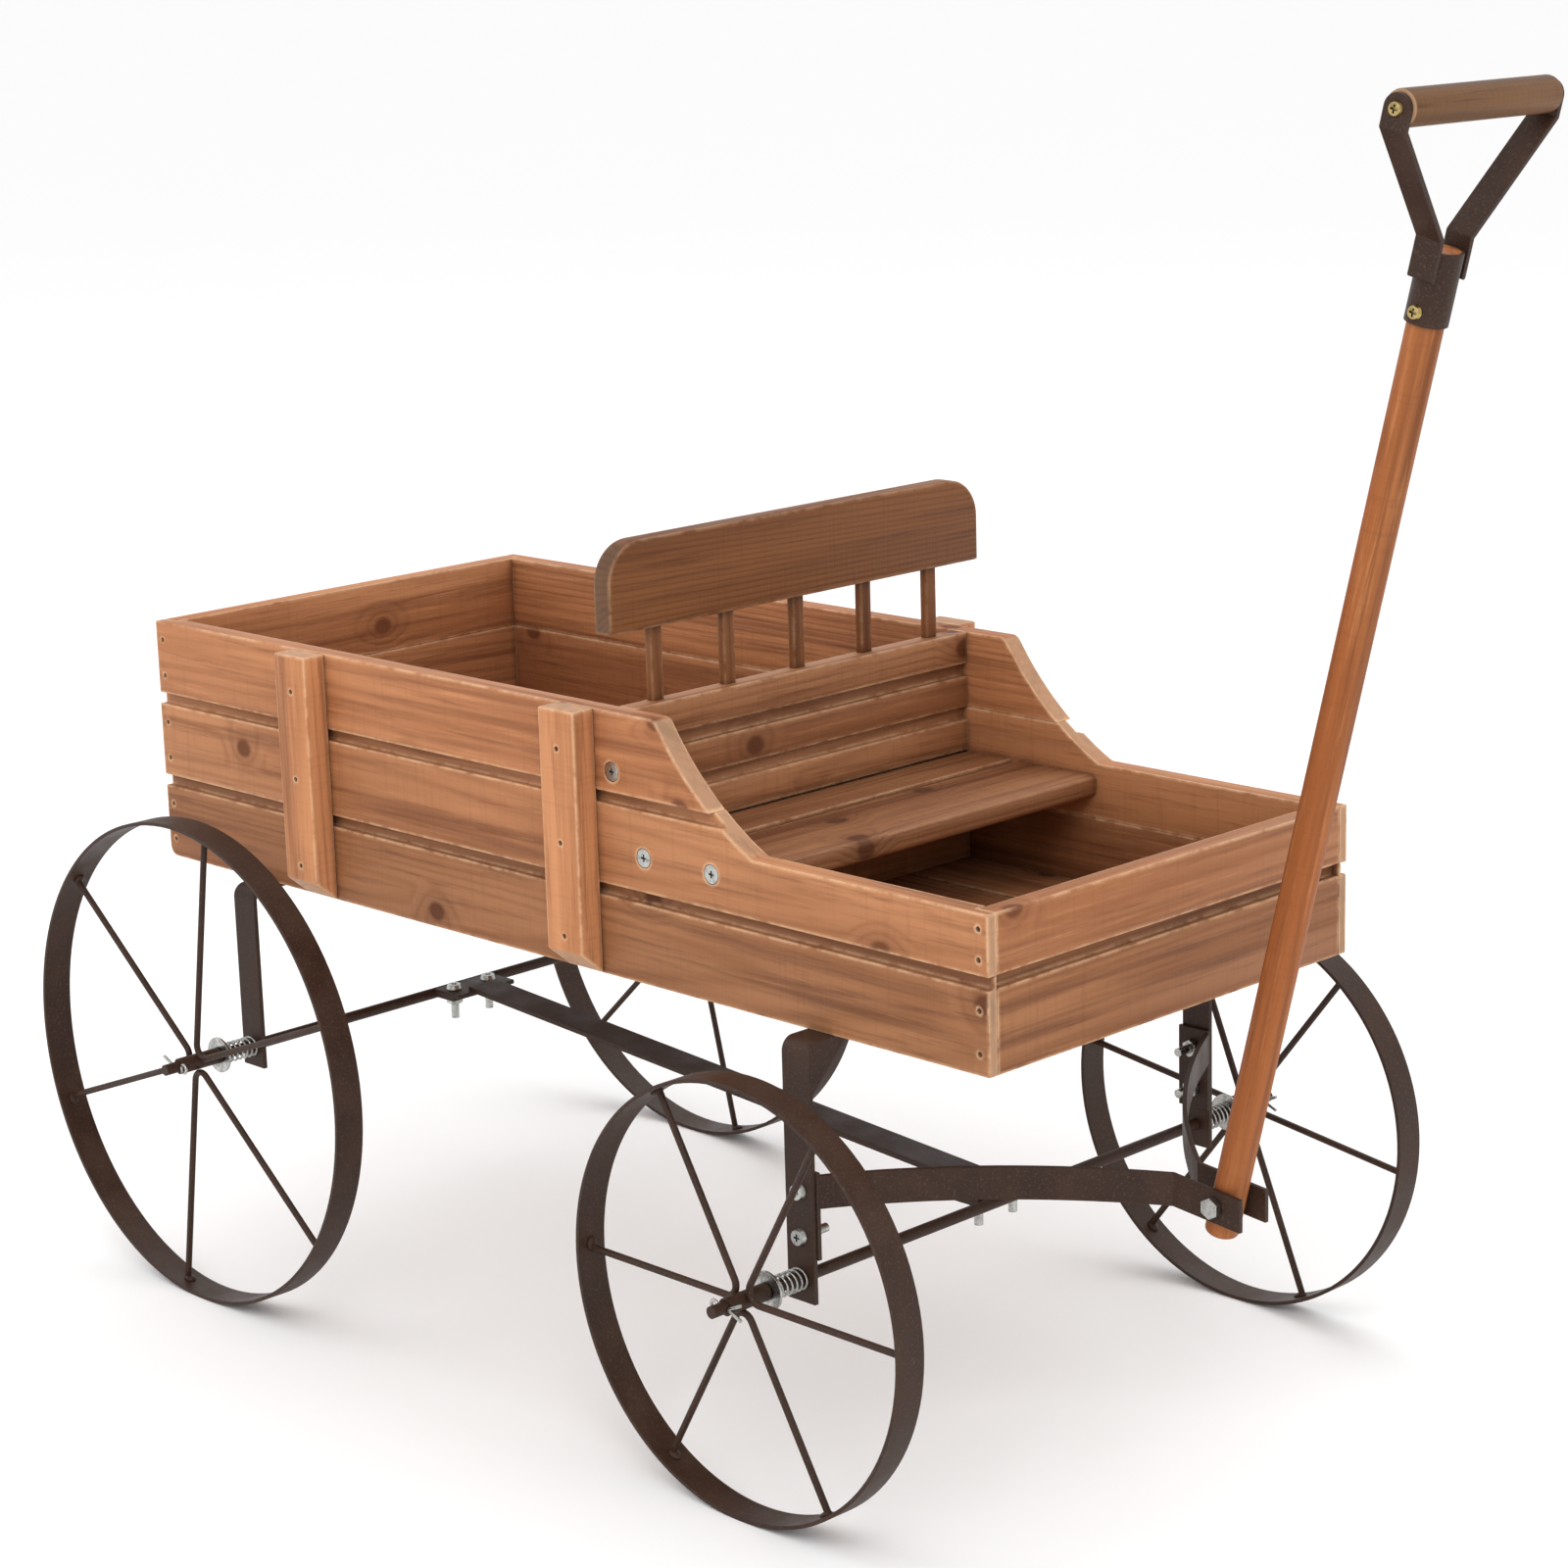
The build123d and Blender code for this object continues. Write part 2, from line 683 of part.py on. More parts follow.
for axle_name, x in axle_places.items():
    z = axle_heights[axle_name]
    radius = wheel_radii[axle_name]
    for side_name, side in sides.items():
        wheel = f"{axle_name}_{side_name}"
        with BuildPart() as rim:
            ring_along_y(
                x,
                z,
                radius,
                radius - rim_thickness,
                side * wheel_plane - rim_width / 2,
                side * wheel_plane + rim_width / 2,
            )
        write(f"rim_{wheel}", rim)
        write(f"spokes_{wheel}", spokes(x, side * wheel_plane, z, radius, spoke_phases[wheel]))
        with BuildPart() as hub:
            ring_along_y(
                x, z, hub_outer_radius, axle_radius + spin_clearance, side * hub_inside, side * hub_outside
            )
        write(f"hub_{wheel}", hub)
        with BuildPart() as washer:
            ring_along_y(
                x, z, washer_radius, axle_radius + spin_clearance, side * washer_inside, side * washer_outside
            )
        write(f"washer_{wheel}", washer)

        coil_start = leg_outside + spring_wire_radius + fit
        coil_length = washer_inside - leg_outside - 2 * (spring_wire_radius + fit)
        coil_radius = spring_radius - spring_wire_radius
        with BuildPart() as spring:
            with BuildLine() as coil:
                Helix(
                    pitch=coil_length / spring_turns,
                    height=coil_length,
                    radius=coil_radius,
                    center=(x, side * coil_start, z),
                    direction=(0, side, 0),
                )
            with BuildSketch(Plane(origin=coil.line @ 0, z_dir=coil.line % 0)):
                Circle(spring_wire_radius)
            sweep(path=coil.line, is_frenet=True)
        write(f"spring_{wheel}", spring)

# ---------------------------------------------------------------- cotter pins
with BuildPart() as cotter_pins:
    for axle_name, eye in (("rear", 1), ("front", -1)):
        x, z = axle_places[axle_name], axle_heights[axle_name]
        for side in (-1, 1):
            y = side * pin_place
            eye_x = x + eye * (axle_radius + pin_eye_radius + pin_radius)
            split_x = x - eye * (axle_radius + pin_radius)
            with BuildSketch(Plane(origin=(eye_x - eye * pin_eye_radius, y, z), z_dir=(-eye, 0, 0))):
                Circle(pin_radius)
            extrude(amount=abs(eye_x - eye * pin_eye_radius - split_x))
            with Locations(Plane(origin=(eye_x, y, z), z_dir=(0, 1, 0))):
                Torus(pin_eye_radius, pin_radius)
            for bend in (-1, 1):
                angle = radians(pin_leg_spread)
                leg_way = (-eye * cos(angle), 0, bend * sin(angle))
                with BuildSketch(Plane(origin=(split_x + eye * pin_radius, y, z), z_dir=leg_way)):
                    Circle(pin_radius)
                extrude(amount=pin_leg_length)
write("cotter_pins", cotter_pins)

# ---------------------------------------------------------------- handle
handle_side = Plane(origin=handle_plane.origin, x_dir=(0, 1, 0), z_dir=handle_plane.x_dir)
socket_outer = shaft_radius + fit + socket_wall
socket_bottom = socket_top - socket_length
neck_y = socket_outer + strap / 2
arm_y = grip_length / 2 + strap / 2
arm_foot = socket_top - arm_overlap
socket_screw = socket_bottom + socket_length / 6
grip_x = pivot_x + grip_reach
grip_z = pivot_height + grip_distance * cos(lean)


def across_handle(height, outside, side):
    """Plane beside the handle, facing away from it, at a height along the shaft."""
    origin = handle_plane.from_local_coords((0, side * outside, height))
    return Plane(origin=origin, x_dir=handle_plane.x_dir, z_dir=(0, side, 0))


with BuildPart() as handle_shaft:
    with BuildSketch(handle_plane.offset(-shaft_foot)):
        Circle(shaft_radius)
    extrude(amount=shaft_foot + socket_top)
    chamfer(handle_shaft.faces().sort_by(Axis.Z)[0].edges(), length=shaft_foot_chamfer)
    hole_along_y(pivot_bolt_radius + fit, [(pivot_x, pivot_height)], -shaft_radius, shaft_radius)
    with Locations(across_handle(socket_screw, socket_outer, -1)):
        Hole(handle_screw_radius + fit, depth=handle_screw_length)
write("handle_shaft", handle_shaft)

with BuildPart() as handle_socket:
    with BuildSketch(handle_plane.offset(socket_bottom)):
        Circle(socket_outer)
        Circle(shaft_radius + fit, mode=Mode.SUBTRACT)
    extrude(amount=socket_length)
    with Locations(across_handle(socket_screw, socket_outer, -1)):
        Hole(handle_screw_radius + fit, depth=handle_screw_length)
write("handle_socket", handle_socket)

with BuildPart() as grip_arms:
    for side in (-1, 1):
        with BuildSketch(handle_side):
            with BuildLine():
                Polyline(
                    (side * neck_y, arm_foot),
                    (side * neck_y, socket_top + arm_neck),
                    (side * arm_y, grip_distance - arm_knee),
                    (side * arm_y, grip_distance + arm_width),
                )
                offset(amount=strap / 2, side=Side.BOTH)
            make_face()
        extrude(amount=arm_width / 2, both=True)
    with BuildSketch(across_handle(grip_distance, 0, -1)):
        Rectangle(2 * arm_width, 2 * arm_width, align=(Align.CENTER, Align.MIN))
        Circle(arm_width / 2, mode=Mode.SUBTRACT)
    extrude(amount=2 * arm_y, both=True, mode=Mode.SUBTRACT)
    hole_along_y(handle_screw_radius + fit, [(grip_x, grip_z)], -2 * arm_y, 2 * arm_y)
write("grip_arms", grip_arms)

with BuildPart() as handle_grip:
    with BuildSketch(Plane.XZ.offset(-grip_length / 2)):
        with Locations((grip_x, grip_z)):
            Circle(grip_radius)
    extrude(amount=grip_length)
    for start in (-grip_length / 2, grip_length / 2 - handle_screw_length):
        hole_along_y(handle_screw_radius + fit, [(grip_x, grip_z)], start, start + handle_screw_length)
write("handle_grip", handle_grip)


# ---------------------------------------------------------------- fasteners
def cross_recess(plane):
    """Cross recess in a screw head whose crown lies on the plane."""
    with BuildSketch(plane) as cross:
        Rectangle(recess_length, recess_width)
        Rectangle(recess_width, recess_length)
    extrude(cross.sketch, amount=-recess_depth, mode=Mode.SUBTRACT)


def pan_screw(seat, radius, length, head_radius, head_height):
    """Pan-head screw whose head sits on the given plane, facing along its normal."""
    with BuildSketch(seat) as head:
        Circle(head_radius)
    extrude(head.sketch, amount=head_height, taper=pan_head_taper)
    with BuildSketch(seat) as shank:
        Circle(radius)
    extrude(shank.sketch, amount=-length)
    cross_recess(seat.offset(head_height))


def hexagon_nut(seat, flats, height, hole_radius):
    """Hexagon nut that sits on the given plane."""
    with BuildSketch(seat) as nut:
        RegularPolygon(flats / 2, 6, major_radius=False)
        Circle(hole_radius, mode=Mode.SUBTRACT)
    extrude(nut.sketch, amount=height)


bolt_seats = []
for height in leg_bolt_heights:
    for side in (-1, 1):
        outer = (front_axle_x, side * leg_outside, height)
        inner = (front_axle_x, side * (leg_inside - strap), height)
        head_seat = Plane(origin=outer, x_dir=(0, 0, 1), z_dir=(0, side, 0))
        nut_seat = Plane(origin=inner, x_dir=(0, 0, 1), z_dir=(0, -side, 0))
        bolt_seats.append((head_seat, nut_seat))
for name, toward in (("rear", 1), ("front", -1)):
    for side in (-1, 1):
        x = axle_places[name] + toward * reach_bolt_place
        y = side * reach_bolt_spacing / 2
        z = axle_heights[name]
        head_seat = Plane(origin=(x, y, z + 1.5 * strap))
        nut_seat = Plane(origin=(x, y, z - strap / 2), z_dir=(0, 0, -1))
        bolt_seats.append((head_seat, nut_seat))
for x, y in floor_bolts:
    head_seat = Plane(origin=(x, y, floor_top))
    nut_seat = Plane(origin=(x, y, box_bottom - strap), z_dir=(0, 0, -1))
    bolt_seats.append((head_seat, nut_seat))

with BuildPart() as chassis_bolts:
    for head_seat, nut_seat in bolt_seats:
        grip = abs((head_seat.origin - nut_seat.origin).length)
        length = max(bolt_length, grip + nut_height + bolt_radius)
        pan_screw(head_seat, bolt_radius, length, bolt_head_radius, bolt_head_height)
write("chassis_bolts", chassis_bolts)

with BuildPart() as chassis_nuts:
    for head_seat, nut_seat in bolt_seats:
        hexagon_nut(nut_seat, nut_flats, nut_height, bolt_radius + fit)
write("chassis_nuts", chassis_nuts)

with BuildPart() as seat_screws:
    for x, z in side_screws:
        for side in (-1, 1):
            crown = Plane(origin=(x, side * y_out, z), x_dir=(1, 0, 0), z_dir=(0, side, 0))
            with BuildSketch(crown):
                Circle(wood_screw_head_radius)
            extrude(amount=-(wood_screw_head_radius - wood_screw_radius), taper=countersink_angle / 2)
            with BuildSketch(crown):
                Circle(wood_screw_radius)
            extrude(amount=-wood_screw_length)
            cross_recess(crown)
write("seat_screws", seat_screws)

with BuildPart() as pivot_bolt:
    with BuildSketch(Plane(origin=(pivot_x, -bar_face, pivot_height), z_dir=(0, -1, 0))):
        RegularPolygon(pivot_head_flats / 2, 6, major_radius=False)
    extrude(amount=pivot_head_height)
    with BuildSketch(Plane(origin=(pivot_x, -bar_face, pivot_height), z_dir=(0, 1, 0))):
        Circle(pivot_bolt_radius)
    extrude(amount=2 * bar_face + pivot_head_height + pivot_bolt_radius)
write("pivot_bolt", pivot_bolt)

with BuildPart() as pivot_nut:
    hexagon_nut(
        Plane(origin=(pivot_x, bar_face, pivot_height), z_dir=(0, 1, 0)),
        pivot_head_flats,
        pivot_head_height,
        pivot_bolt_radius + fit,
    )
write("pivot_nut", pivot_nut)

with BuildPart() as handle_screws:
    for seat in (
        across_handle(grip_distance, grip_length / 2 + strap, -1),
        across_handle(grip_distance, grip_length / 2 + strap, 1),
        across_handle(socket_screw, socket_outer, -1),
    ):
        pan_screw(
            seat,
            handle_screw_radius,
            handle_screw_length - strap,
            handle_screw_head_radius,
            handle_screw_head_height,
        )
write("handle_screws", handle_screws)
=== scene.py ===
import json
from math import sqrt

import bmesh
import bpy
from bpy.props import FloatProperty, FloatVectorProperty, PointerProperty
from bpy.types import Operator, Panel, PropertyGroup
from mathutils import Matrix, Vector


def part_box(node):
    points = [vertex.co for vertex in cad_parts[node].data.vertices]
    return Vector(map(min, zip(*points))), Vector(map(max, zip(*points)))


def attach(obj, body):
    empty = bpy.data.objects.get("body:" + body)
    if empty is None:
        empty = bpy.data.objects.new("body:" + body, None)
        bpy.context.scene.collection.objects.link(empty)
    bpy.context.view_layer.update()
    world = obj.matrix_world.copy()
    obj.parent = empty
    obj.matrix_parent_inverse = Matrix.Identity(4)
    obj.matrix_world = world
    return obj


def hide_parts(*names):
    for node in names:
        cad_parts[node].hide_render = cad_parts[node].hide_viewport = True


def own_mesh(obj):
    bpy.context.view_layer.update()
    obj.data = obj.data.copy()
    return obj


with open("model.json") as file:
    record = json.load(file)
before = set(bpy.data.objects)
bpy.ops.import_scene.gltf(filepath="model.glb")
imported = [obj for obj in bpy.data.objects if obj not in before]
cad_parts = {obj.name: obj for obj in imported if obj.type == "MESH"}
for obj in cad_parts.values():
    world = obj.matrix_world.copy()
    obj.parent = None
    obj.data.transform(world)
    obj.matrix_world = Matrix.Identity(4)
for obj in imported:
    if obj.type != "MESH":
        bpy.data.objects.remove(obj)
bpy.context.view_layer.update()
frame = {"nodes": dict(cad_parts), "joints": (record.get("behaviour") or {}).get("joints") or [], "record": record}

bl_info = {
    "name": "Garden Wagon Looks",
    "version": (1, 0, 0),
    "blender": (4, 5, 0),
    "location": "3D View > Sidebar > Wagon",
    "description": "Sawn boards, turned handle, welds and finishes of a two-bed garden wagon",
    "category": "Object",
}

TOUCH = 0.00001  # places nearer than this are the same place
FACING = 0.9  # cosine of the angle within which a face looks a given way
SHOULDER_REACH = 0.0006  # how near to the hollow's start its top edge is looked for
SAME_SPOKE = 0.99  # cosine of the angle within which two tips are one spoke's
WELD_SHAPE = (1.0, 1.25, 0.55)  # a weld bead's proportions, flattened along the spoke
SIDES = {"right": 1, "left": -1}  # the way from the outside to the inside, along Y
ROWS = ("bottom", "middle", "top")
ROW_SHADE_SHARES = (0.65, 0.86, 1.0)  # painted shade: share of the box's colours on each row, darker towards the bottom
WHEELS = ("rear_right", "rear_left", "front_right", "front_left")
NUMBERS = {  # number of the first board of each group, which sets its grain
    "left": 0, "right": 10, "rear": 20, "front": 24, "batten": 41, "divider": 50, "floor": 60,
    "seat": 70, "backrest": 74, "slat": 80, "shaft": 90, "grip": 92,
}
LAMPS = (  # name, place, size and power
    ("key", (1.6, -1.9, 2.4), 1.6, 30),
    ("fill", (-2.2, -1.6, 1.6), 2.2, 10),
    ("top", (-0.4, 1.4, 2.6), 2.0, 16),
)
LAMP_AIM = Vector((0, 0, 0.25))  # the point that every lamp looks at
NODE_STEP = 200  # distance between two nodes in the node editor


def tone(red, green, blue):
    """Linear colour from the 0 to 255 values of a colour picker."""
    shares = [value / 255 for value in (red, green, blue)]
    return tuple(s / 12.92 if s <= 0.04045 else ((s + 0.055) / 1.055) ** 2.4 for s in shares)


def length(name, description, default):
    """A size in metres."""
    return FloatProperty(name=name, description=description, default=default, unit="LENGTH", precision=5)


def colour(name, description, default):
    """A colour that the user can pick."""
    return FloatVectorProperty(
        name=name, description=description, default=default, subtype="COLOR", size=3, min=0, max=1
    )


# ---------------------------------------------------------------- settings
class WagonWoodSettings(PropertyGroup):
    arris: length("Arris", "Rounding of the sawn edges", 0.0006)
    groove: length("Groove", "Visible height of the tongue between two wall boards", 0.0054)
    divider_groove: length("Divider groove", "The same between two divider boards", 0.006)
    groove_depth: length("Groove depth", "How far the tongue lies behind the face", 0.0035)
    corner: length("Corner", "End grain of the side board beside the end boards", 0.005)
    corner_radius: length("Corner radius", "Rounding of the lower rear corner", 0.005)
    hollow_start: length("Hollow start", "Start of the hollow curve, ahead of the middle", 0.084)
    hollow_end: length("Hollow end", "End of the hollow curve, ahead of the middle", 0.14)
    hollow_sag: length("Hollow sag", "Depth of the hollow under its chord", 0.005)
    batten_foot: length("Batten foot", "Height of the bevel at a batten's foot", 0.01)
    seat_nose: length("Seat nose", "Rounding of the bench's front edge", 0.003)
    back_corner: length("Backrest corner", "Rounding of the backrest's upper corners", 0.018)
    shoulder_radius: length("Shoulder radius", "Rounding where the hollow starts", 0.0025)
    head_depth: length("Head depth", "How deep the nail and screw heads are let in", 0.0012)
    foot_rounding: length("Foot rounding", "Rounding of the handle's foot", 0.0022)
    grip_rounding: length("Grip rounding", "Rounding of the grip's ends", 0.0012)
    hole_play: length("Hole play", "Dark ring left round a nail or screw head", 0.0003)
    shaft_foot: length("Shaft foot", "Length of the handle below its pivot", 0.015)
    light: colour("Light stain", "Stain on the soft grain", tone(198, 137, 93))
    middle: colour("Stain", "Main colour of the box", tone(170, 111, 72))
    dark: colour("Dark stain", "Stain on the hard grain", tone(116, 68, 42))
    worn: colour("Worn wood", "Bare wood on the edges", tone(226, 182, 142))
    back_stain: colour("Back stain", "Share of the box's colours on the backrest", (0.38, 0.33, 0.25))
    end_grain: colour("End grain", "Colour of the cut ends", tone(180, 146, 116))
    shaft_light: colour("Light shaft", "Soft grain of the handle", tone(184, 122, 76))
    shaft_middle: colour("Shaft", "Main colour of the handle", tone(150, 84, 40))
    shaft_dark: colour("Dark shaft", "Hard grain of the handle", tone(104, 58, 30))
    grip_light: colour("Light grip", "Soft grain of the grip", tone(122, 86, 55))
    grip_middle: colour("Grip", "Main colour of the grip", tone(101, 69, 42))
    grip_dark: colour("Dark grip", "Hard grain of the grip", tone(66, 42, 26))


class WagonMetalSettings(PropertyGroup):
    weld: length("Weld", "Radius of a weld bead", 0.0026)
    weld_sink: length("Weld sink", "How far a bead's middle lies inside the spoke's tip", 0.0004)
    tip_depth: length("Tip depth", "Length of a spoke's end that counts as its tip", 0.0005)
    wheel_play: length("Wheel play", "How far a wheel can be pushed in", 0.008)
    paint: colour("Paint", "Powder coat on the iron", tone(47, 28, 18))
    paint_worn: colour("Worn paint", "Powder coat on the edges and upper faces", tone(88, 66, 52))
    zinc: colour("Zinc", "Bright zinc plating", tone(182, 182, 178))
    yellow: colour("Yellow zinc", "Yellow passivated plating", tone(190, 165, 105))
    rubbed: colour("Rubbed plating", "Bright metal on the plated edges", (0.7, 0.7, 0.68))
    nail: colour("Nails", "Dark steel of the sunk heads", tone(48, 34, 27))
    rust: colour("Rust", "Rust on the sunk heads", tone(92, 58, 38))


class WagonStageSettings(PropertyGroup):
    camera_place: FloatVectorProperty(
        name="Camera place", description="Place of the camera", default=(1.134231, -1.115461, 0.642035),
        subtype="TRANSLATION", unit="LENGTH", precision=5,
    )
    camera_turn: FloatVectorProperty(
        name="Camera turn", description="Rotation of the camera",
        default=(1.3336624, 0.0279671, 0.7912153), subtype="EULER", precision=6,
    )
    lens: FloatProperty(name="Lens", description="Focal length", default=84.45, unit="CAMERA")
    floor_size: length("Floor", "Width of the floor", 60.0)
    floor: colour("Floor colour", "Colour of the floor", (0.97, 0.97, 0.97))


def wood():
    """The sizes and colours of the wood."""
    return bpy.context.scene.wagon_wood


def metal():
    """The sizes and colours of the metal."""
    return bpy.context.scene.wagon_metal


# ---------------------------------------------------------------- modelling helpers
def object_mode():
    """Leave edit mode and let go of everything."""
    if bpy.context.object and bpy.context.object.mode != "OBJECT":
        bpy.ops.object.mode_set(mode="OBJECT")
    bpy.ops.object.select_all(action="DESELECT")


def take(piece):
    """Make a piece the only selected and active one, in object mode."""
    object_mode()
    piece.select_set(True)
    bpy.context.view_layer.objects.active = piece


def edit(piece):
    """Open a piece in edit mode with face selection."""
    take(piece)
    bpy.ops.object.mode_set(mode="EDIT")
    bpy.ops.mesh.select_mode(type="FACE")


def block(name, low, high):
    """A rectangular block between two corners, its place in its mesh."""
    object_mode()
    bpy.ops.mesh.primitive_cube_add(size=1, location=(Vector(low) + Vector(high)) / 2)
    piece = bpy.context.object
    piece.name = name
    piece.scale = Vector(high) - Vector(low)
    bpy.ops.object.transform_apply(location=True, rotation=True, scale=True)
    return piece


def rod(name, start, end, radius, vertices=48):
    """A round rod from start to end."""
    object_mode()
    way = Vector(end) - Vector(start)
    bpy.ops.mesh.primitive_cylinder_add(
        vertices=vertices, radius=radius, depth=way.length, location=(Vector(start) + Vector(end)) / 2,
        rotation=way.to_track_quat("Z", "Y").to_euler(),
    )
    piece = bpy.context.object
    piece.name = name
    bpy.ops.object.transform_apply(location=True, rotation=True, scale=True)
    return piece


def pick_faces(piece, test):
    """Select the faces whose centre and normal pass the test."""
    bpy.ops.mesh.select_mode(type="FACE")
    bpy.ops.mesh.select_all(action="DESELECT")
    mesh = bmesh.from_edit_mesh(piece.data)
    for face in mesh.faces:
        face.select_set(test(face.calc_center_median(), face.normal))
    bmesh.update_edit_mesh(piece.data)


def pick_edges(piece, test):
    """Select the edges whose two ends pass the test."""
    bpy.ops.mesh.select_mode(type="EDGE")
    bpy.ops.mesh.select_all(action="DESELECT")
    mesh = bmesh.from_edit_mesh(piece.data)
    for edge in mesh.edges:
        edge.select_set(all(test(vertex.co) for vertex in edge.verts))
    bmesh.update_edit_mesh(piece.data)


def score(point, normal, **kept):
    """Cut the whole open mesh with a plane."""
    bpy.ops.mesh.select_all(action="SELECT")
    bpy.ops.mesh.bisect(plane_co=point, plane_no=normal, **kept)


def push(way):
    """Extrude the selected faces."""
    bpy.ops.mesh.extrude_region_move(TRANSFORM_OT_translate={"value": way})


def modify(piece, kind, **values):
    """Add a modifier with the given values and apply it."""
    take(piece)
    modifier = piece.modifiers.new(kind.title(), kind)
    for key, value in values.items():
        setattr(modifier, key, value)
    bpy.ops.object.modifier_apply(modifier=modifier.name)


def round_arrises(piece, width=None):
    """Round every sharp edge a little, as sanding leaves it."""
    modify(piece, "BEVEL", width=width or wood().arris, segments=2, limit_method="ANGLE", angle_limit=0.6)


def subtract(piece, cutter):
    """Cut one closed mesh out of another."""
    modify(piece, "BOOLEAN", operation="DIFFERENCE", solver="EXACT", object=cutter)


def join(name, pieces):
    """Join pieces into one object."""
    object_mode()
    for piece in pieces:
        piece.select_set(True)
    bpy.context.view_layer.objects.active = pieces[0]
    if len(pieces) > 1:
        bpy.ops.object.join()
    pieces[0].name = name
    return pieces[0]


def discard(piece):
    """Remove a cutter that has done its work."""
    bpy.data.meshes.remove(piece.data)


def number_boards(piece, number):
    """Give a board its own number, so that its grain differs from its neighbours'."""
    layer = piece.data.attributes.new("board", "FLOAT", "POINT")
    layer.data.foreach_set("value", [float(number)] * len(piece.data.vertices))


def finish_piece(piece, material, body, slot, *nodes, angle=0.5):
    """Clean a piece, give it its finish and seat it on its body in place of its CAD nodes."""
    edit(piece)
    bpy.ops.mesh.select_all(action="SELECT")
    bpy.ops.mesh.remove_doubles(threshold=TOUCH)
    bpy.ops.mesh.normals_make_consistent(inside=False)
    take(piece)
    bpy.ops.object.shade_smooth_by_angle(angle=angle)
    piece.data.name = piece.name
    piece.data.materials.clear()
    piece.data.materials.append(material)
    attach(piece, body)
    if nodes:
        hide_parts(*nodes)
    return piece


def solids_of(node):
    """The boxes of a CAD node's separate solids, as (low, high) pairs sorted by height and width."""
    mesh = frame["nodes"][node].data
    spots = [tuple(round(value, 6) for value in vertex.co) for vertex in mesh.vertices]
    parent = {spot: spot for spot in spots}

    def root(spot):
        while parent[spot] != spot:
            parent[spot] = parent[parent[spot]]
            spot = parent[spot]
        return spot

    for face in mesh.polygons:
        first = root(spots[face.vertices[0]])
        for index in face.vertices[1:]:
            parent[root(spots[index])] = first
    groups = {}
    for spot in set(spots):
        groups.setdefault(root(spot), []).append(spot)
    boxes = [
        (Vector([min(axis) for axis in zip(*group)]), Vector([max(axis) for axis in zip(*group)]))
        for group in groups.values()
    ]
    return sorted(boxes, key=lambda box: (round(box[0].z, 5), round(box[0].y, 5), box[0].x))


def handle_pivot():
    """Place of the handle's hinge."""
    return Vector(next(joint for joint in frame["joints"] if joint["name"] == "handle_tilt")["pos_m"])


def body_box():
    """Low and high corner of the wooden box without its battens."""
    right_low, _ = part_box("side_board_bottom_right")
    _, left_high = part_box("side_board_bottom_left")
    return Vector(right_low), Vector((left_high.x, left_high.y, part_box("side_board_top_left")[1].z))


def board_thickness():
    """Thickness of the boards of the box."""
    low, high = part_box("side_board_bottom_right")
    return high.y - low.y


# ---------------------------------------------------------------- cutters
def hollow_cutter():
    """What is cut from the sides between the rear bed's height and the low front bed."""
    low, high = body_box()
    middle = (low.x + high.x) / 2
    start = Vector((middle + wood().hollow_start, 0, high.z))
    end = Vector((middle + wood().hollow_end, 0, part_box("front_board_middle")[1].z))
    chord = (end - start).length
    radius = chord**2 / (8 * wood().hollow_sag) + wood().hollow_sag / 2
    across = Vector((start.z - end.z, 0, end.x - start.x)).normalized()
    centre = (start + end) / 2 + across * (radius - wood().hollow_sag)
    width = high.y - low.y
    cutter = rod("hollow_cutter", centre - Vector((0, width, 0)), centre + Vector((0, width, 0)), radius, 256)
    edit(cutter)
    score(end, (0, 0, 1), use_fill=True, clear_inner=True)
    object_mode()
    return cutter


def head_cutter(node):
    """Round pockets for the heads of the nails or screws in a CAD node."""
    pockets = []
    for number, (low, high) in enumerate(solids_of(node)):
        centre = (low + high) / 2
        radius = min(high.x - low.x, high.z - low.z) / 2 + wood().hole_play
        outward = -1 if centre.y < 0 else 1
        head = low.y if outward < 0 else high.y
        start = Vector((centre.x, head - outward * wood().head_depth, centre.z))
        end = Vector((centre.x, head + outward * board_thickness() / 4, centre.z))
        pockets.append(rod(f"pocket_{number}", start, end, radius, 20))
    return join(f"{node}_pockets", pockets)


# ---------------------------------------------------------------- boards
def raise_tongue(piece, shoulder, axis, inward, height):
    """Extrude the rear strip of a board's top edge up to the board above."""
    normal = Vector((0, 0, 0))
    normal[axis] = 1
    point = Vector((0, 0, 0))
    point[axis] = shoulder
    score(point, normal)
    if height:
        pick_faces(piece, lambda c, n: n.z > FACING and (c[axis] - shoulder) * inward > 0)
        push((0, 0, height))


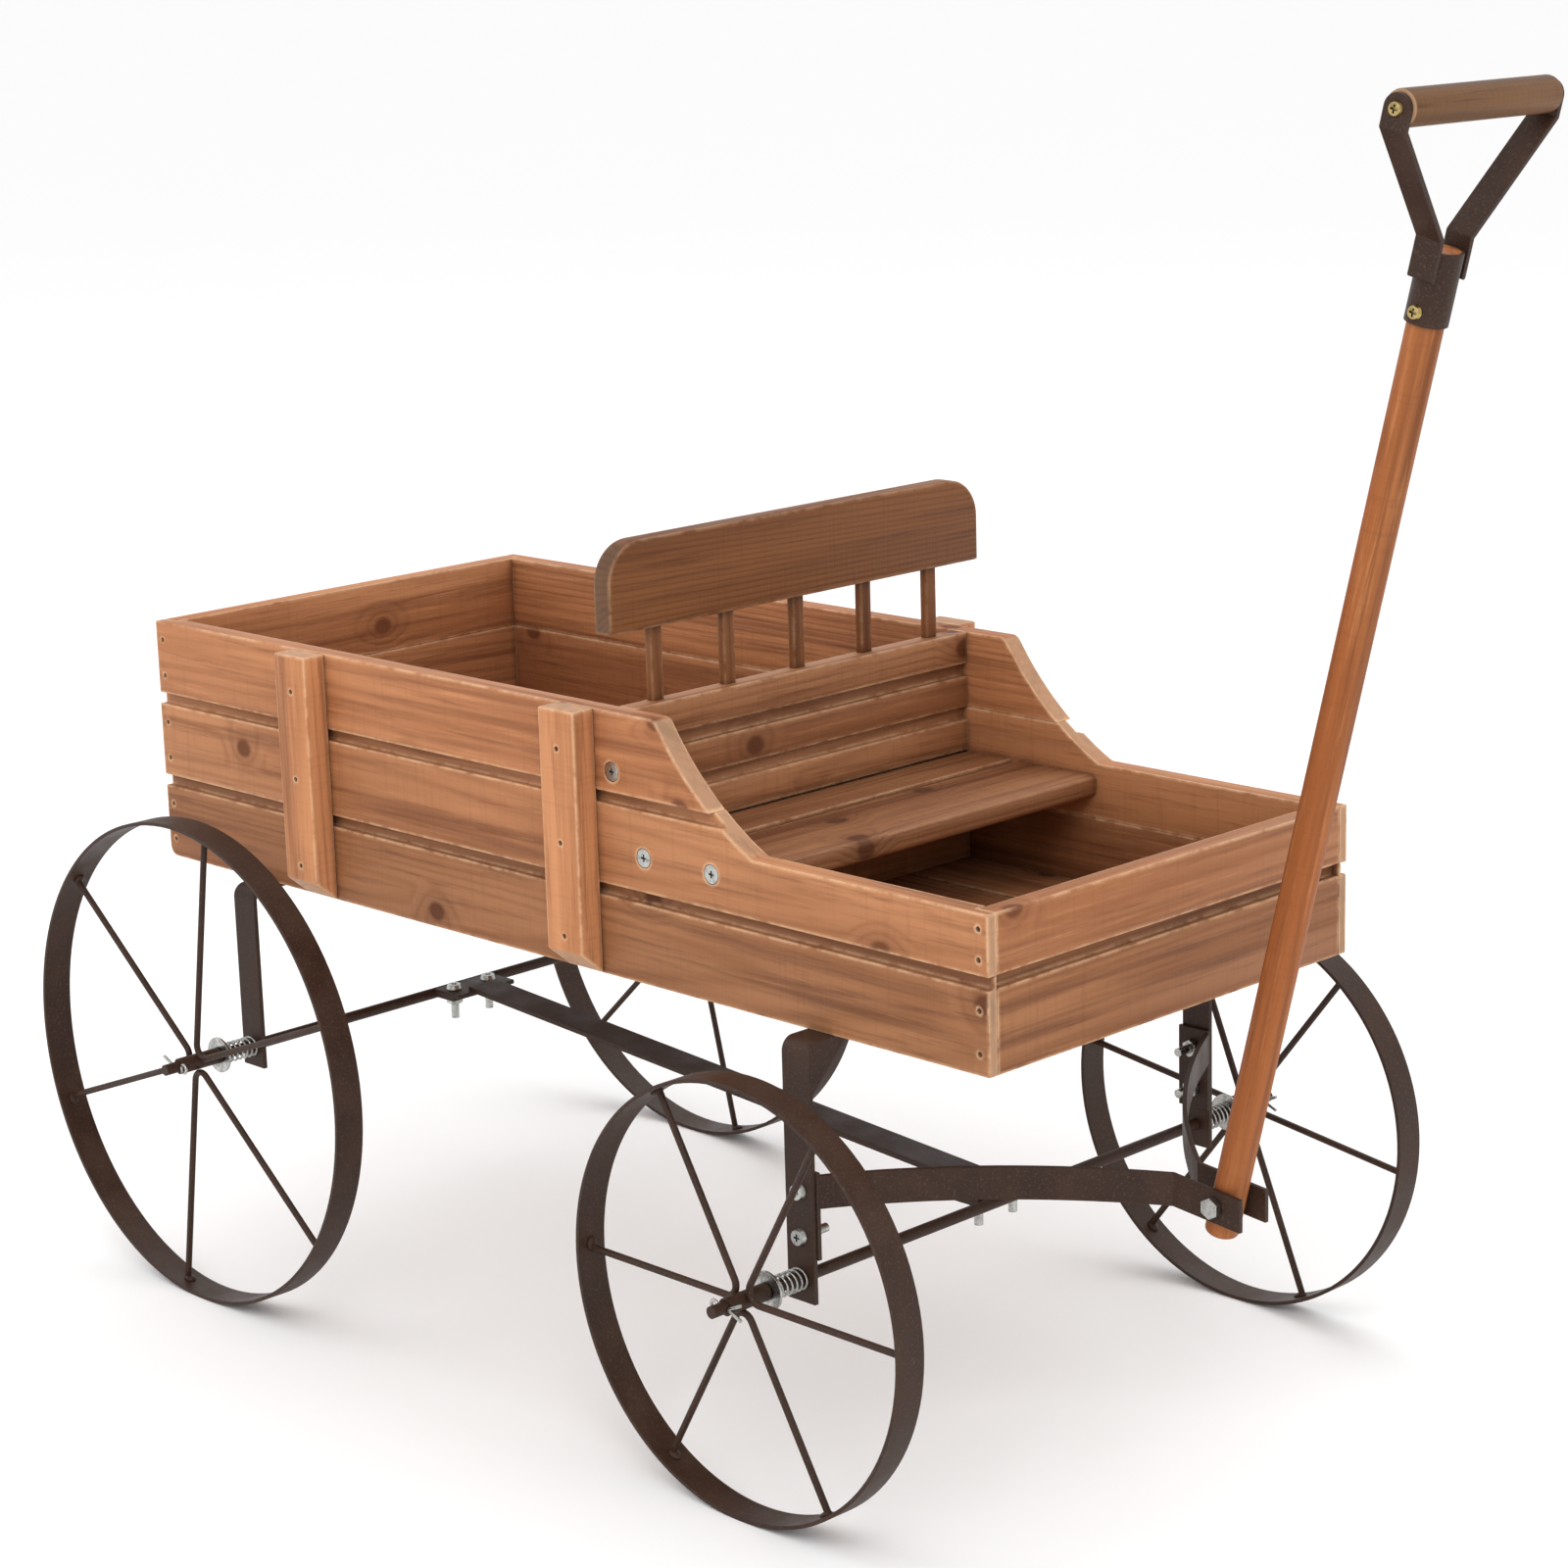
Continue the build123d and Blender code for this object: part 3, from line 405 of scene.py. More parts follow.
def side_board(row, side, hollow, pockets):
    """One shiplapped side board, its ends cut back for the end walls."""
    inward = SIDES[side]
    node = f"side_board_{row}_{side}"
    low, high = body_box()
    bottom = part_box(node)[0].z
    above = ROWS[ROWS.index(row) + 1] if row != "top" else None
    groove = wood().groove if above else 0
    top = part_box(f"side_board_{above}_{side}")[0].z - groove if above else high.z
    outer = low.y if inward > 0 else high.y
    inner = outer + inward * board_thickness()
    end = board_thickness()
    piece = block(
        f"{node}_wood",
        (low.x + end, min(outer, inner), bottom),
        (high.x - end, max(outer, inner), top),
    )
    edit(piece)
    corner = outer + inward * wood().corner
    score((0, corner, 0), (0, 1, 0))
    for way in (-1, 1):
        pick_faces(piece, lambda c, n: n.x * way > FACING and (corner - c.y) * inward > 0)
        push((way * end, 0, 0))
    raise_tongue(piece, outer + inward * wood().groove_depth, 1, inward, groove)
    if row == "bottom":
        pick_edges(piece, lambda v: abs(v.x - low.x) < TOUCH and abs(v.z - bottom) < TOUCH)
        bpy.ops.mesh.bevel(offset=wood().corner_radius, segments=6, affect="EDGES")
    else:
        subtract(piece, hollow)
    if row == "top":
        shoulder_x = (low.x + high.x) / 2 + wood().hollow_start
        edit(piece)
        pick_edges(
            piece, lambda v: abs(v.x - shoulder_x) < SHOULDER_REACH and abs(v.z - high.z) < SHOULDER_REACH / 6
        )
        bpy.ops.mesh.bevel(offset=wood().shoulder_radius, segments=5, affect="EDGES")
    object_mode()
    round_arrises(piece)
    subtract(piece, pockets)
    number_boards(piece, NUMBERS[side] + ROWS.index(row))
    return piece


def end_board(row, end, number):
    """One shiplapped board of the front or rear wall."""
    node = f"{end}_board_{row}"
    low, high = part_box(node)
    inward = 1 if end == "rear" else -1
    outer = low.x if end == "rear" else high.x
    rows = [name for name in ROWS if f"{end}_board_{name}" in frame["nodes"]]
    above = rows[rows.index(row) + 1] if row != rows[-1] else None
    groove = wood().groove if above else 0
    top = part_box(f"{end}_board_{above}")[0].z - groove if above else high.z
    piece = block(f"{node}_wood", low, (high.x, high.y, top))
    edit(piece)
    raise_tongue(piece, outer + inward * wood().groove_depth, 0, inward, groove)
    object_mode()
    round_arrises(piece)
    number_boards(piece, number)
    return piece


def plain_board(name, low, high, number):
    """A straight board or slat with rounded arrises."""
    piece = block(name, low, high)
    round_arrises(piece)
    number_boards(piece, number)
    return piece


# ---------------------------------------------------------------- shader helpers
def add(tree, kind, place, **values):
    """Add a node at a place and set its properties."""
    node = tree.nodes.new(f"ShaderNode{kind}")
    node.location = (place[0] * NODE_STEP, place[1] * NODE_STEP)
    for key, value in values.items():
        setattr(node, key, value)
    return node


def feed(tree, socket, source):
    """Link a source to a socket, or set the socket to a plain value."""
    if isinstance(source, bpy.types.NodeSocket):
        tree.links.new(source, socket)
    elif hasattr(source, "__len__") and len(source) == 3 and socket.type == "RGBA":
        socket.default_value = (*source, 1)
    else:
        socket.default_value = source


def reckon(tree, place, operation, *sources, clamp=False):
    """One Math node."""
    node = add(tree, "Math", place, operation=operation, use_clamp=clamp)
    for socket, source in zip(node.inputs, sources):
        feed(tree, socket, source)
    return node.outputs[0]


def mix(tree, place, factor, first, second, blend="MIX"):
    """Mix two colours."""
    node = add(tree, "Mix", place, data_type="RGBA", blend_type=blend)
    feed(tree, node.inputs["Factor"], factor)
    feed(tree, node.inputs[6], first)
    feed(tree, node.inputs[7], second)
    return node.outputs[2]


def remap(tree, place, source, low, high, to_low=0.0, to_high=1.0):
    """Smoothly map a range of values to another."""
    node = add(tree, "MapRange", place, interpolation_type="SMOOTHSTEP")
    for index, value in enumerate((source, low, high, to_low, to_high)):
        feed(tree, node.inputs[index], value)
    return node.outputs[0]


def stretched(tree, place, vector, scale):
    """Coordinates stretched for a pattern that runs along the board."""
    node = add(tree, "Mapping", place)
    feed(tree, node.inputs["Vector"], vector)
    node.inputs["Scale"].default_value = scale
    return node.outputs[0]


def noise(tree, place, vector, scale=1.0, detail=2.0, roughness=0.5, distortion=0.0):
    """Noise value at the given coordinates."""
    node = add(tree, "TexNoise", place)
    feed(tree, node.inputs["Vector"], vector)
    node.inputs["Scale"].default_value = scale
    node.inputs["Detail"].default_value = detail
    node.inputs["Roughness"].default_value = roughness
    node.inputs["Distortion"].default_value = distortion
    return node.outputs[0]


def begin_group(name, inputs, outputs):
    """A shader node group with its input and output nodes."""
    tree = bpy.data.node_groups.new(name, "ShaderNodeTree")
    for socket_name, kind, default in inputs:
        socket = tree.interface.new_socket(socket_name, in_out="INPUT", socket_type=f"NodeSocket{kind}")
        if default is not None:
            socket.default_value = default
    for socket_name, kind in outputs:
        tree.interface.new_socket(socket_name, in_out="OUTPUT", socket_type=f"NodeSocket{kind}")
    entry = tree.nodes.new("NodeGroupInput")
    entry.location = (-9 * NODE_STEP, 0)
    leave = tree.nodes.new("NodeGroupOutput")
    leave.location = (9 * NODE_STEP, 0)
    return tree, entry.outputs, leave.inputs


def use_group(tree, place, name, **sources):
    """Place a node group and feed its inputs."""
    node = add(tree, "Group", place, node_tree=bpy.data.node_groups[name])
    for key, source in sources.items():
        feed(tree, node.inputs[key.replace("_", " ")], source)
    return node.outputs


# ---------------------------------------------------------------- shared effects
def sawn_grain_group():
    """Flat-sawn softwood with the grain along X: rings, streaks, knots and stain."""
    tree, given, out = begin_group(
        "Sawn grain",
        [("Vector", "Vector", None), ("Number", "Float", 0.0), ("Light", "Color", None),
         ("Middle", "Color", None), ("Dark", "Color", None), ("Rings", "Float", 120.0)],
        [("Color", "Color"), ("Height", "Float")],
    )
    apart = add(tree, "CombineXYZ", (-8, 2))
    for socket, step in zip(apart.inputs, (1.37, 0.83, 2.11)):
        feed(tree, socket, reckon(tree, (-9, 2), "MULTIPLY", given["Number"], step))
    moved = add(tree, "VectorMath", (-7, 1), operation="ADD")
    feed(tree, moved.inputs[0], given["Vector"])
    feed(tree, moved.inputs[1], apart.outputs[0])
    place = moved.outputs[0]

    parts = add(tree, "SeparateXYZ", (-8, 5))
    feed(tree, parts.inputs[0], place)
    across = reckon(tree, (-7, 5), "ADD", parts.outputs[1], parts.outputs[2])
    flat = add(tree, "CombineXYZ", (-7, 4))
    feed(tree, flat.inputs[0], parts.outputs[0])
    feed(tree, flat.inputs[1], across)
    cells = add(tree, "TexVoronoi", (-5, 4), voronoi_dimensions="2D")
    feed(tree, cells.inputs["Vector"], stretched(tree, (-6, 4), flat.outputs[0], (12, 15, 1)))
    cells.inputs["Scale"].default_value = 1.0
    chosen = add(tree, "SeparateColor", (-4, 4))
    feed(tree, chosen.inputs[0], cells.outputs["Color"])
    has_knot = reckon(tree, (-3, 4), "GREATER_THAN", chosen.outputs[0], 0.64)
    near = remap(tree, (-3, 3), cells.outputs["Distance"], 0.26, 0.0)
    swirl = reckon(tree, (-2, 3), "MULTIPLY", near, has_knot)
    centred = remap(tree, (-3, 5), cells.outputs["Distance"], 0.085, 0.035)
    core = reckon(tree, (-2, 4), "MULTIPLY", centred, has_knot)

    flow = noise(tree, (-5, 1), stretched(tree, (-6, 1), place, (0.3, 9, 9)), detail=1.5, distortion=0.1)
    bent = reckon(tree, (-1, 2), "MULTIPLY_ADD", swirl, 0.035, flow)
    ring = reckon(tree, (0, 2), "MULTIPLY", bent, given["Rings"])
    wave = reckon(tree, (1, 2), "PINGPONG", ring, 1.0)
    late = remap(tree, (2, 2), wave, 0.3, 1.0)
    fibre = noise(tree, (-5, 0), stretched(tree, (-6, 0), place, (14, 330, 330)), detail=5, roughness=0.72)
    streak = noise(tree, (-5, -1), stretched(tree, (-6, -1), place, (3.5, 130, 130)), detail=3, roughness=0.6)
    saw_marks = noise(tree, (-5, -3), stretched(tree, (-6, -3), place, (520, 26, 26)), detail=2)
    patch = noise(tree, (-5, -2), stretched(tree, (-6, -2), place, (2.5, 22, 22)), detail=3)

    colour_now = mix(tree, (3, 0), remap(tree, (2, 0), patch, 0.3, 0.72), given["Middle"], given["Light"])
    ring_share = reckon(tree, (3, 2), "MULTIPLY", late, 0.22)
    colour_now = mix(tree, (4, 0), ring_share, colour_now, given["Dark"])
    colour_now = mix(tree, (5, 0), remap(tree, (4, -1), streak, 0.5, 0.74, 0, 0.7), colour_now, given["Dark"])
    colour_now = mix(tree, (6, 0), remap(tree, (5, -1), fibre, 0.5, 0.72, 0, 0.55), colour_now, given["Dark"])
    pale = remap(tree, (6, -1), fibre, 0.47, 0.28, 0, 0.65)
    colour_now = mix(tree, (7, 0), pale, colour_now, given["Light"])
    saw_share = remap(tree, (6, -3), saw_marks, 0.5, 0.75, 0, 0.13)
    colour_now = mix(tree, (7, -1), saw_share, colour_now, given["Dark"])
    knot_share = reckon(tree, (7, 3), "MULTIPLY", core, 0.85)
    halo = reckon(tree, (7, 4), "MULTIPLY", swirl, 0.35)
    knotted = reckon(tree, (8, 3), "ADD", knot_share, halo, clamp=True)
    colour_now = mix(tree, (8, 0), knotted, colour_now, given["Dark"])
    feed(tree, out["Color"], colour_now)
    height = reckon(tree, (5, 3), "MULTIPLY_ADD", late, -0.35, fibre)
    height = reckon(tree, (5, 4), "MULTIPLY_ADD", saw_marks, 0.5, height)
    feed(tree, out["Height"], reckon(tree, (6, 3), "MULTIPLY_ADD", core, -0.5, height))
    return tree


def worn_edges_group():
    """Mask of the outer edges, broken up by noise."""
    tree, given, out = begin_group(
        "Worn edges",
        [("Vector", "Vector", None), ("Radius", "Float", 0.001), ("Scale", "Float", 90.0)],
        [("Mask", "Float"), ("Normal", "Vector")],
    )
    soft = add(tree, "Bevel", (-4, 1), samples=4)
    feed(tree, soft.inputs["Radius"], given["Radius"])
    geometry = add(tree, "NewGeometry", (-4, 0))
    dot = add(tree, "VectorMath", (-3, 1), operation="DOT_PRODUCT")
    feed(tree, dot.inputs[0], soft.outputs[0])
    feed(tree, dot.inputs[1], geometry.outputs["Normal"])
    edge = remap(tree, (-2, 1), dot.outputs["Value"], 0.995, 0.9)
    broken = noise(tree, (-3, -1), given["Vector"], scale=1.0, detail=4, roughness=0.65)
    tree.links.new(given["Scale"], broken.node.inputs["Scale"])
    kept = remap(tree, (-2, -1), broken, 0.3, 0.6)
    feed(tree, out["Mask"], reckon(tree, (-1, 0), "MULTIPLY", edge, kept))
    feed(tree, out["Normal"], soft.outputs[0])
    return tree


def settled_dust_group():
    """Mask of the faces that look up, broken up by noise."""
    tree, given, out = begin_group(
        "Settled dust", [("Vector", "Vector", None), ("Scale", "Float", 40.0)], [("Mask", "Float")]
    )
    geometry = add(tree, "NewGeometry", (-4, 0))
    parts = add(tree, "SeparateXYZ", (-3, 0))
    feed(tree, parts.inputs[0], geometry.outputs["Normal"])
    upward = remap(tree, (-2, 0), parts.outputs[2], 0.35, 0.95)
    broken = noise(tree, (-3, -1), given["Vector"], detail=4, roughness=0.6)
    tree.links.new(given["Scale"], broken.node.inputs["Scale"])
    kept = remap(tree, (-2, -1), broken, 0.2, 0.75)
    feed(tree, out["Mask"], reckon(tree, (-1, 0), "MULTIPLY", upward, kept))
    return tree


# ---------------------------------------------------------------- materials
def new_material(name):
    """An empty node material and its Principled shader."""
    material = bpy.data.materials.new(name)
    material.use_nodes = True
    tree = material.node_tree
    shader = tree.nodes["Principled BSDF"]
    return material, tree, shader


def bump(tree, place, height, strength, distance, normal=None):
    """A Bump node."""
    node = add(tree, "Bump", place)
    node.inputs["Strength"].default_value = strength
    node.inputs["Distance"].default_value = distance
    feed(tree, node.inputs["Height"], height)
    if normal is not None:
        feed(tree, node.inputs["Normal"], normal)
    return node.outputs[0]


def wood_material(name, order, light, middle, dark, wear=1.0, rings=120.0, turned=None, cut=1.0):
    """Stained softwood whose grain runs along the first axis in order.

    wear is the share of bare wood on the edges, cut the lightness of the end grain, and turned the
    place and angle about Y of a piece that leans.
    """
    material, tree, shader = new_material(name)
    where = add(tree, "TexCoord", (-9, 0))
    vector = where.outputs["Object"]
    if turned:
        turn = add(tree, "VectorRotate", (-8, -1), rotation_type="Y_AXIS")
        feed(tree, turn.inputs["Vector"], vector)
        turn.inputs["Center"].default_value = turned[0]
        turn.inputs["Angle"].default_value = turned[1]
        vector = turn.outputs[0]
    parts = add(tree, "SeparateXYZ", (-8, 0))
    feed(tree, parts.inputs[0], vector)
    along = add(tree, "CombineXYZ", (-7, 0))
    for socket, axis in zip(along.inputs, order):
        feed(tree, socket, parts.outputs["XYZ".index(axis)])
    number = add(tree, "Attribute", (-8, 2), attribute_name="board")
    grain = use_group(
        tree, (-5, 0), "Sawn grain", Vector=along.outputs[0], Number=number.outputs["Fac"],
        Light=light, Middle=middle, Dark=dark, Rings=rings,
    )
    edges = use_group(
        tree, (-5, -2), "Worn edges", Vector=where.outputs["Object"], Radius=0.0026, Scale=110.0
    )
    normals = add(tree, "SeparateXYZ", (-7, -3))
    feed(tree, normals.inputs[0], where.outputs["Normal"])
    facing = reckon(tree, (-6, -3), "ABSOLUTE", normals.outputs["XYZ".index(order[0])])
    end = remap(tree, (-5, -3), facing, 0.3, 0.62, 0, 0.6 if not turned else 0.0)
    # painted shade: ambient occlusion darkens the colour in the grooves between the boards and other recesses
    painted_occlusion = add(tree, "AmbientOcclusion", (-5, -4), samples=6)
    painted_occlusion.inputs["Distance"].default_value = 0.005
    shade = remap(tree, (-4, -4), painted_occlusion.outputs["AO"], 0.35, 0.9, 0.6, 1.0)

    tint = mix(tree, (-3, 0), end, grain["Color"], deeper(wood().end_grain, cut))
    tint = mix(tree, (-2, 0), reckon(tree, (-3, -2), "MULTIPLY", edges["Mask"], wear), tint, wood().worn)
    # the painted shade is multiplied into the colour
    tint = mix(tree, (-1, 0), 1.0, tint, shade, "MULTIPLY")
    feed(tree, shader.inputs["Base Color"], tint)
    feed(tree, shader.inputs["Roughness"], remap(tree, (-2, -2), grain["Height"], 0.1, 0.8, 0.74, 0.52))
    shader.inputs["Specular IOR Level"].default_value = 0.2
    feed(tree, shader.inputs["Normal"], bump(tree, (-1, -3), grain["Height"], 0.5, 0.0008))
    return material


def painted_iron():
    """Matte brown powder coat, greyer on the edges and where dust lies."""
    material, tree, shader = new_material("painted_iron")
    where = add(tree, "TexCoord", (-8, 0)).outputs["Object"]
    edges = use_group(tree, (-5, 1), "Worn edges", Vector=where, Radius=0.0006, Scale=160.0)
    dust = use_group(tree, (-5, 0), "Settled dust", Vector=where, Scale=60.0)
    mottle = noise(tree, (-5, -1), where, scale=45, detail=4, roughness=0.6)
    orange_peel = noise(tree, (-5, -2), where, scale=1400, detail=2)
    mottled = remap(tree, (-4, -1), mottle, 0.35, 0.7, 0, 0.22)
    base = mix(tree, (-3, 0), mottled, metal().paint, metal().paint_worn)
    speck = noise(tree, (-5, -3), where, scale=1000, detail=2)
    base = mix(tree, (-3, -1), remap(tree, (-4, -3), speck, 0.54, 0.7, 0, 0.42), base, metal().paint_worn)
    edge_share = reckon(tree, (-3, 1), "MULTIPLY", edges["Mask"], 0.4)
    base = mix(tree, (-2, 0), edge_share, base, metal().paint_worn)
    base = mix(tree, (-1, 0), reckon(tree, (-2, 1), "MULTIPLY", dust["Mask"], 0.15), base, metal().paint_worn)
    feed(tree, shader.inputs["Base Color"], base)
    shader.inputs["Metallic"].default_value = 0.0
    feed(tree, shader.inputs["Roughness"], remap(tree, (-2, -1), mottle, 0.3, 0.7, 0.42, 0.6))
    shader.inputs["Specular IOR Level"].default_value = 0.25
    feed(tree, shader.inputs["Normal"], bump(tree, (-1, -2), orange_peel, 0.12, 0.0003, edges["Normal"]))
    return material


def plated_steel(name, plating, dull):
    """Plated steel with soft blotches, and painted shade in its recesses."""
    material, tree, shader = new_material(name)
    where = add(tree, "TexCoord", (-8, 0)).outputs["Object"]
    edges = use_group(tree, (-5, 1), "Worn edges", Vector=where, Radius=0.0003, Scale=300.0)
    blotch = noise(tree, (-5, 0), where, scale=420, detail=4, roughness=0.65)
    scratch = noise(tree, (-5, -1), where, scale=2600, detail=2)
    base = mix(tree, (-3, 0), remap(tree, (-4, 0), blotch, 0.4, 0.75), plating, dull)
    edge_share = reckon(tree, (-3, 1), "MULTIPLY", edges["Mask"], 0.35)
    base = mix(tree, (-2, 0), edge_share, base, metal().rubbed)
    # painted shade: ambient occlusion darkens the colour in recesses and gaps
    painted_occlusion = add(tree, "AmbientOcclusion", (-5, -3), samples=6)
    painted_occlusion.inputs["Distance"].default_value = 0.0014
    shade = remap(tree, (-4, -3), painted_occlusion.outputs["AO"], 0.3, 0.95, 0.22, 1.0)
    # the painted shade is multiplied into the colour
    base = mix(tree, (-1, 0), 1.0, base, shade, "MULTIPLY")
    feed(tree, shader.inputs["Base Color"], base)
    shader.inputs["Metallic"].default_value = 1.0
    feed(tree, shader.inputs["Roughness"], remap(tree, (-2, -1), blotch, 0.3, 0.75, 0.18, 0.4))
    feed(tree, shader.inputs["Normal"], bump(tree, (-1, -2), scratch, 0.08, 0.0002, edges["Normal"]))
    return material


def nail_steel():
    """Dark sunk nail heads."""
    material, tree, shader = new_material("sunk_steel")
    where = add(tree, "TexCoord", (-8, 0)).outputs["Object"]
    rust = noise(tree, (-5, 0), where, scale=900, detail=3)
    base = mix(tree, (-3, 0), remap(tree, (-4, 0), rust, 0.4, 0.7), metal().nail, metal().rust)
    feed(tree, shader.inputs["Base Color"], base)
    feed(tree, shader.inputs["Roughness"], remap(tree, (-2, -1), rust, 0.3, 0.7, 0.6, 0.85))
    shader.inputs["Metallic"].default_value = 0.0
    return material


def deeper(shade, share):
    """A darker version of a colour."""
    return tuple(value * share for value in shade)


# ---------------------------------------------------------------- operators
class WAGON_OT_materials(Operator):
    """Build the shared effects and every finish"""

    bl_idname = "wagon.materials"
    bl_label = "Finishes"

    def execute(self, context):
        sawn_grain_group()
        worn_edges_group()
        settled_dust_group()
        box = (wood().light, wood().middle, wood().dark)
        seat = [deeper(shade, 0.56) for shade in box]
        back = [tuple(value * share for value, share in zip(shade, wood().back_stain)) for shade in box]
        # lit and shaded copies of the box wood, one per row: painted shade makes the lower rows darker
        for row, share in zip(ROWS, ROW_SHADE_SHARES):
            row_shaded_colours = [deeper(shade, share) for shade in box]
            wood_material(f"box_wood_long_{row}", "XYZ", *row_shaded_colours)
            wood_material(f"box_wood_cross_{row}", "YXZ", *row_shaded_colours)
        wood_material("batten_wood", "ZXY", *(deeper(shade, 1.1) for shade in box), wear=1.1)
        wood_material("divider_wood", "YXZ", *(deeper(shade, 0.66) for shade in box), wear=0.8, cut=0.5)
        wood_material("seat_wood", "YXZ", *seat, wear=0.7, cut=0.4)
        wood_material("back_wood", "YXZ", *back, wear=0.4, cut=0.2)
        wood_material("slat_wood", "ZXY", *back, wear=0.3, cut=0.2)
        pivot = handle_pivot()
        low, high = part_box("handle_grip")
        way = (low + high) / 2 - pivot
        lean = Vector((0, 0, 1)).angle(way)
        shaft = (wood().shaft_light, wood().shaft_middle, wood().shaft_dark)
        grip = (wood().grip_light, wood().grip_middle, wood().grip_dark)
        wood_material("shaft_wood", "ZXY", *shaft, wear=0.0, rings=90, turned=(pivot, -lean))
        wood_material("turned_wood", "YXZ", *grip, wear=0.0, rings=50)
        painted_iron()
        plated_steel("zinc_plating", metal().zinc, deeper(metal().zinc, 0.55))
        plated_steel("yellow_plating", metal().yellow, deeper(metal().yellow, 0.55))
        nail_steel()
        return {"FINISHED"}


class WAGON_OT_walls(Operator):
    """Side and end walls of shiplapped boards"""

    bl_idname = "wagon.walls"
    bl_label = "Walls"

    def execute(self, context):
        hollow = hollow_cutter()
        nails = head_cutter("box_nails")
        screws = head_cutter("seat_screws")
        pockets = join("head_pockets", [nails, screws])
        for side in SIDES:
            for row in ROWS:
                piece = side_board(row, side, hollow, pockets)
                node = f"side_board_{row}_{side}"
                finish_piece(piece, bpy.data.materials[f"box_wood_long_{row}"], "wagon", "box_wood", node)
        for end, rows in (("rear", ROWS), ("front", ROWS[:2])):
            for index, row in enumerate(rows):
                piece = end_board(row, end, NUMBERS[end] + index)
                node = f"{end}_board_{row}"
                finish_piece(piece, bpy.data.materials[f"box_wood_cross_{row}"], "wagon", "box_wood", node)
        discard(hollow)
        discard(pockets)
        return {"FINISHED"}


class WAGON_OT_battens(Operator):
    """Upright battens on the sides, their feet bevelled back to the box"""

    bl_idname = "wagon.battens"
    bl_label = "Battens"

    def execute(self, context):
        pockets = head_cutter("box_nails")
        number = NUMBERS["batten"]
        for side, inward in SIDES.items():
            for end in ("front", "rear"):
                node = f"batten_{end}_{side}"
                low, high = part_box(node)
                outer = low.y if inward > 0 else high.y
                inner = high.y if inward > 0 else low.y
                piece = block(f"{node}_wood", low, high)
                edit(piece)
                slope = Vector((0, -inward * wood().batten_foot, -abs(outer - inner)))
                score((0, inner, low.z), slope, use_fill=True, clear_outer=True)
                object_mode()
                round_arrises(piece, wood().arris * 1.5)
                subtract(piece, pockets)
                number_boards(piece, number)
                number += 1
                finish_piece(piece, bpy.data.materials["batten_wood"], "wagon", "box_wood", node)
        discard(pockets)
        return {"FINISHED"}


class WAGON_OT_divider(Operator):
    """Shiplapped boards between the two beds"""

    bl_idname = "wagon.divider"
    bl_label = "Divider"

    def execute(self, context):
        solids = solids_of("divider_boards")
        boards = []
        for index, (low, high) in enumerate(solids):
            last = index == len(solids) - 1
            groove = 0 if last else wood().divider_groove
            top = high.z if last else solids[index + 1][0].z - groove
            board = block(f"divider_{index}", low, (high.x, high.y, top))
            edit(board)
            raise_tongue(board, high.x - wood().groove_depth, 0, -1, groove)
            object_mode()
            round_arrises(board)
            number_boards(board, NUMBERS["divider"] + index)
            boards.append(board)
        piece = join("divider_boards_wood", boards)
        finish_piece(piece, bpy.data.materials["divider_wood"], "wagon", "dark_wood", "divider_boards")
        return {"FINISHED"}


class WAGON_OT_floor_boards(Operator):
    """Floor of the box"""

    bl_idname = "wagon.floor_boards"
    bl_label = "Floor boards"

    def execute(self, context):
        boards = [
            plain_board(f"floor_{index}", low, high, NUMBERS["floor"] + index)
            for index, (low, high) in enumerate(solids_of("floor_boards"))
        ]
        piece = join("floor_boards_wood", boards)
        # the floor takes the bottom row's copy of the box wood, with its painted shade
        finish_piece(piece, bpy.data.materials["box_wood_long_bottom"], "wagon", "box_wood", "floor_boards")
        return {"FINISHED"}


class WAGON_OT_bench(Operator):
    """Seat boards, backrest and the slats that carry it"""

    bl_idname = "wagon.bench"
    bl_label = "Bench"

    def execute(self, context):
        for number, node in enumerate(("seat_board_rear", "seat_board_front"), NUMBERS["seat"]):
            low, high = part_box(node)
            piece = block(f"{node}_wood", low, high)
            if node == "seat_board_front":
                edit(piece)
                for height in (low.z, high.z):
                    pick_edges(piece, lambda v: abs(v.x - high.x) < TOUCH and abs(v.z - height) < TOUCH)
                    bpy.ops.mesh.bevel(offset=wood().seat_nose, segments=4, affect="EDGES")
                object_mode()
            round_arrises(piece)
            number_boards(piece, number)
            finish_piece(piece, bpy.data.materials["seat_wood"], "wagon", "dark_wood", node)

        low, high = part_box("backrest_board")
        piece = block("backrest_board_wood", low, high)
        edit(piece)
        for end in (low.y, high.y):
            pick_edges(piece, lambda v: abs(v.z - high.z) < TOUCH and abs(v.y - end) < TOUCH)
            bpy.ops.mesh.bevel(offset=wood().back_corner, segments=12, affect="EDGES")
        object_mode()
        round_arrises(piece, wood().arris * 1.5)
        number_boards(piece, NUMBERS["backrest"])
        finish_piece(piece, bpy.data.materials["back_wood"], "wagon", "dark_wood", "backrest_board")

        slats = [
            plain_board(f"slat_{index}", slat_low, slat_high, NUMBERS["slat"] + index)
            for index, (slat_low, slat_high) in enumerate(solids_of("back_slats"))
        ]
        piece = join("back_slats_wood", slats)
        finish_piece(piece, bpy.data.materials["slat_wood"], "wagon", "dark_wood", "back_slats")
        return {"FINISHED"}


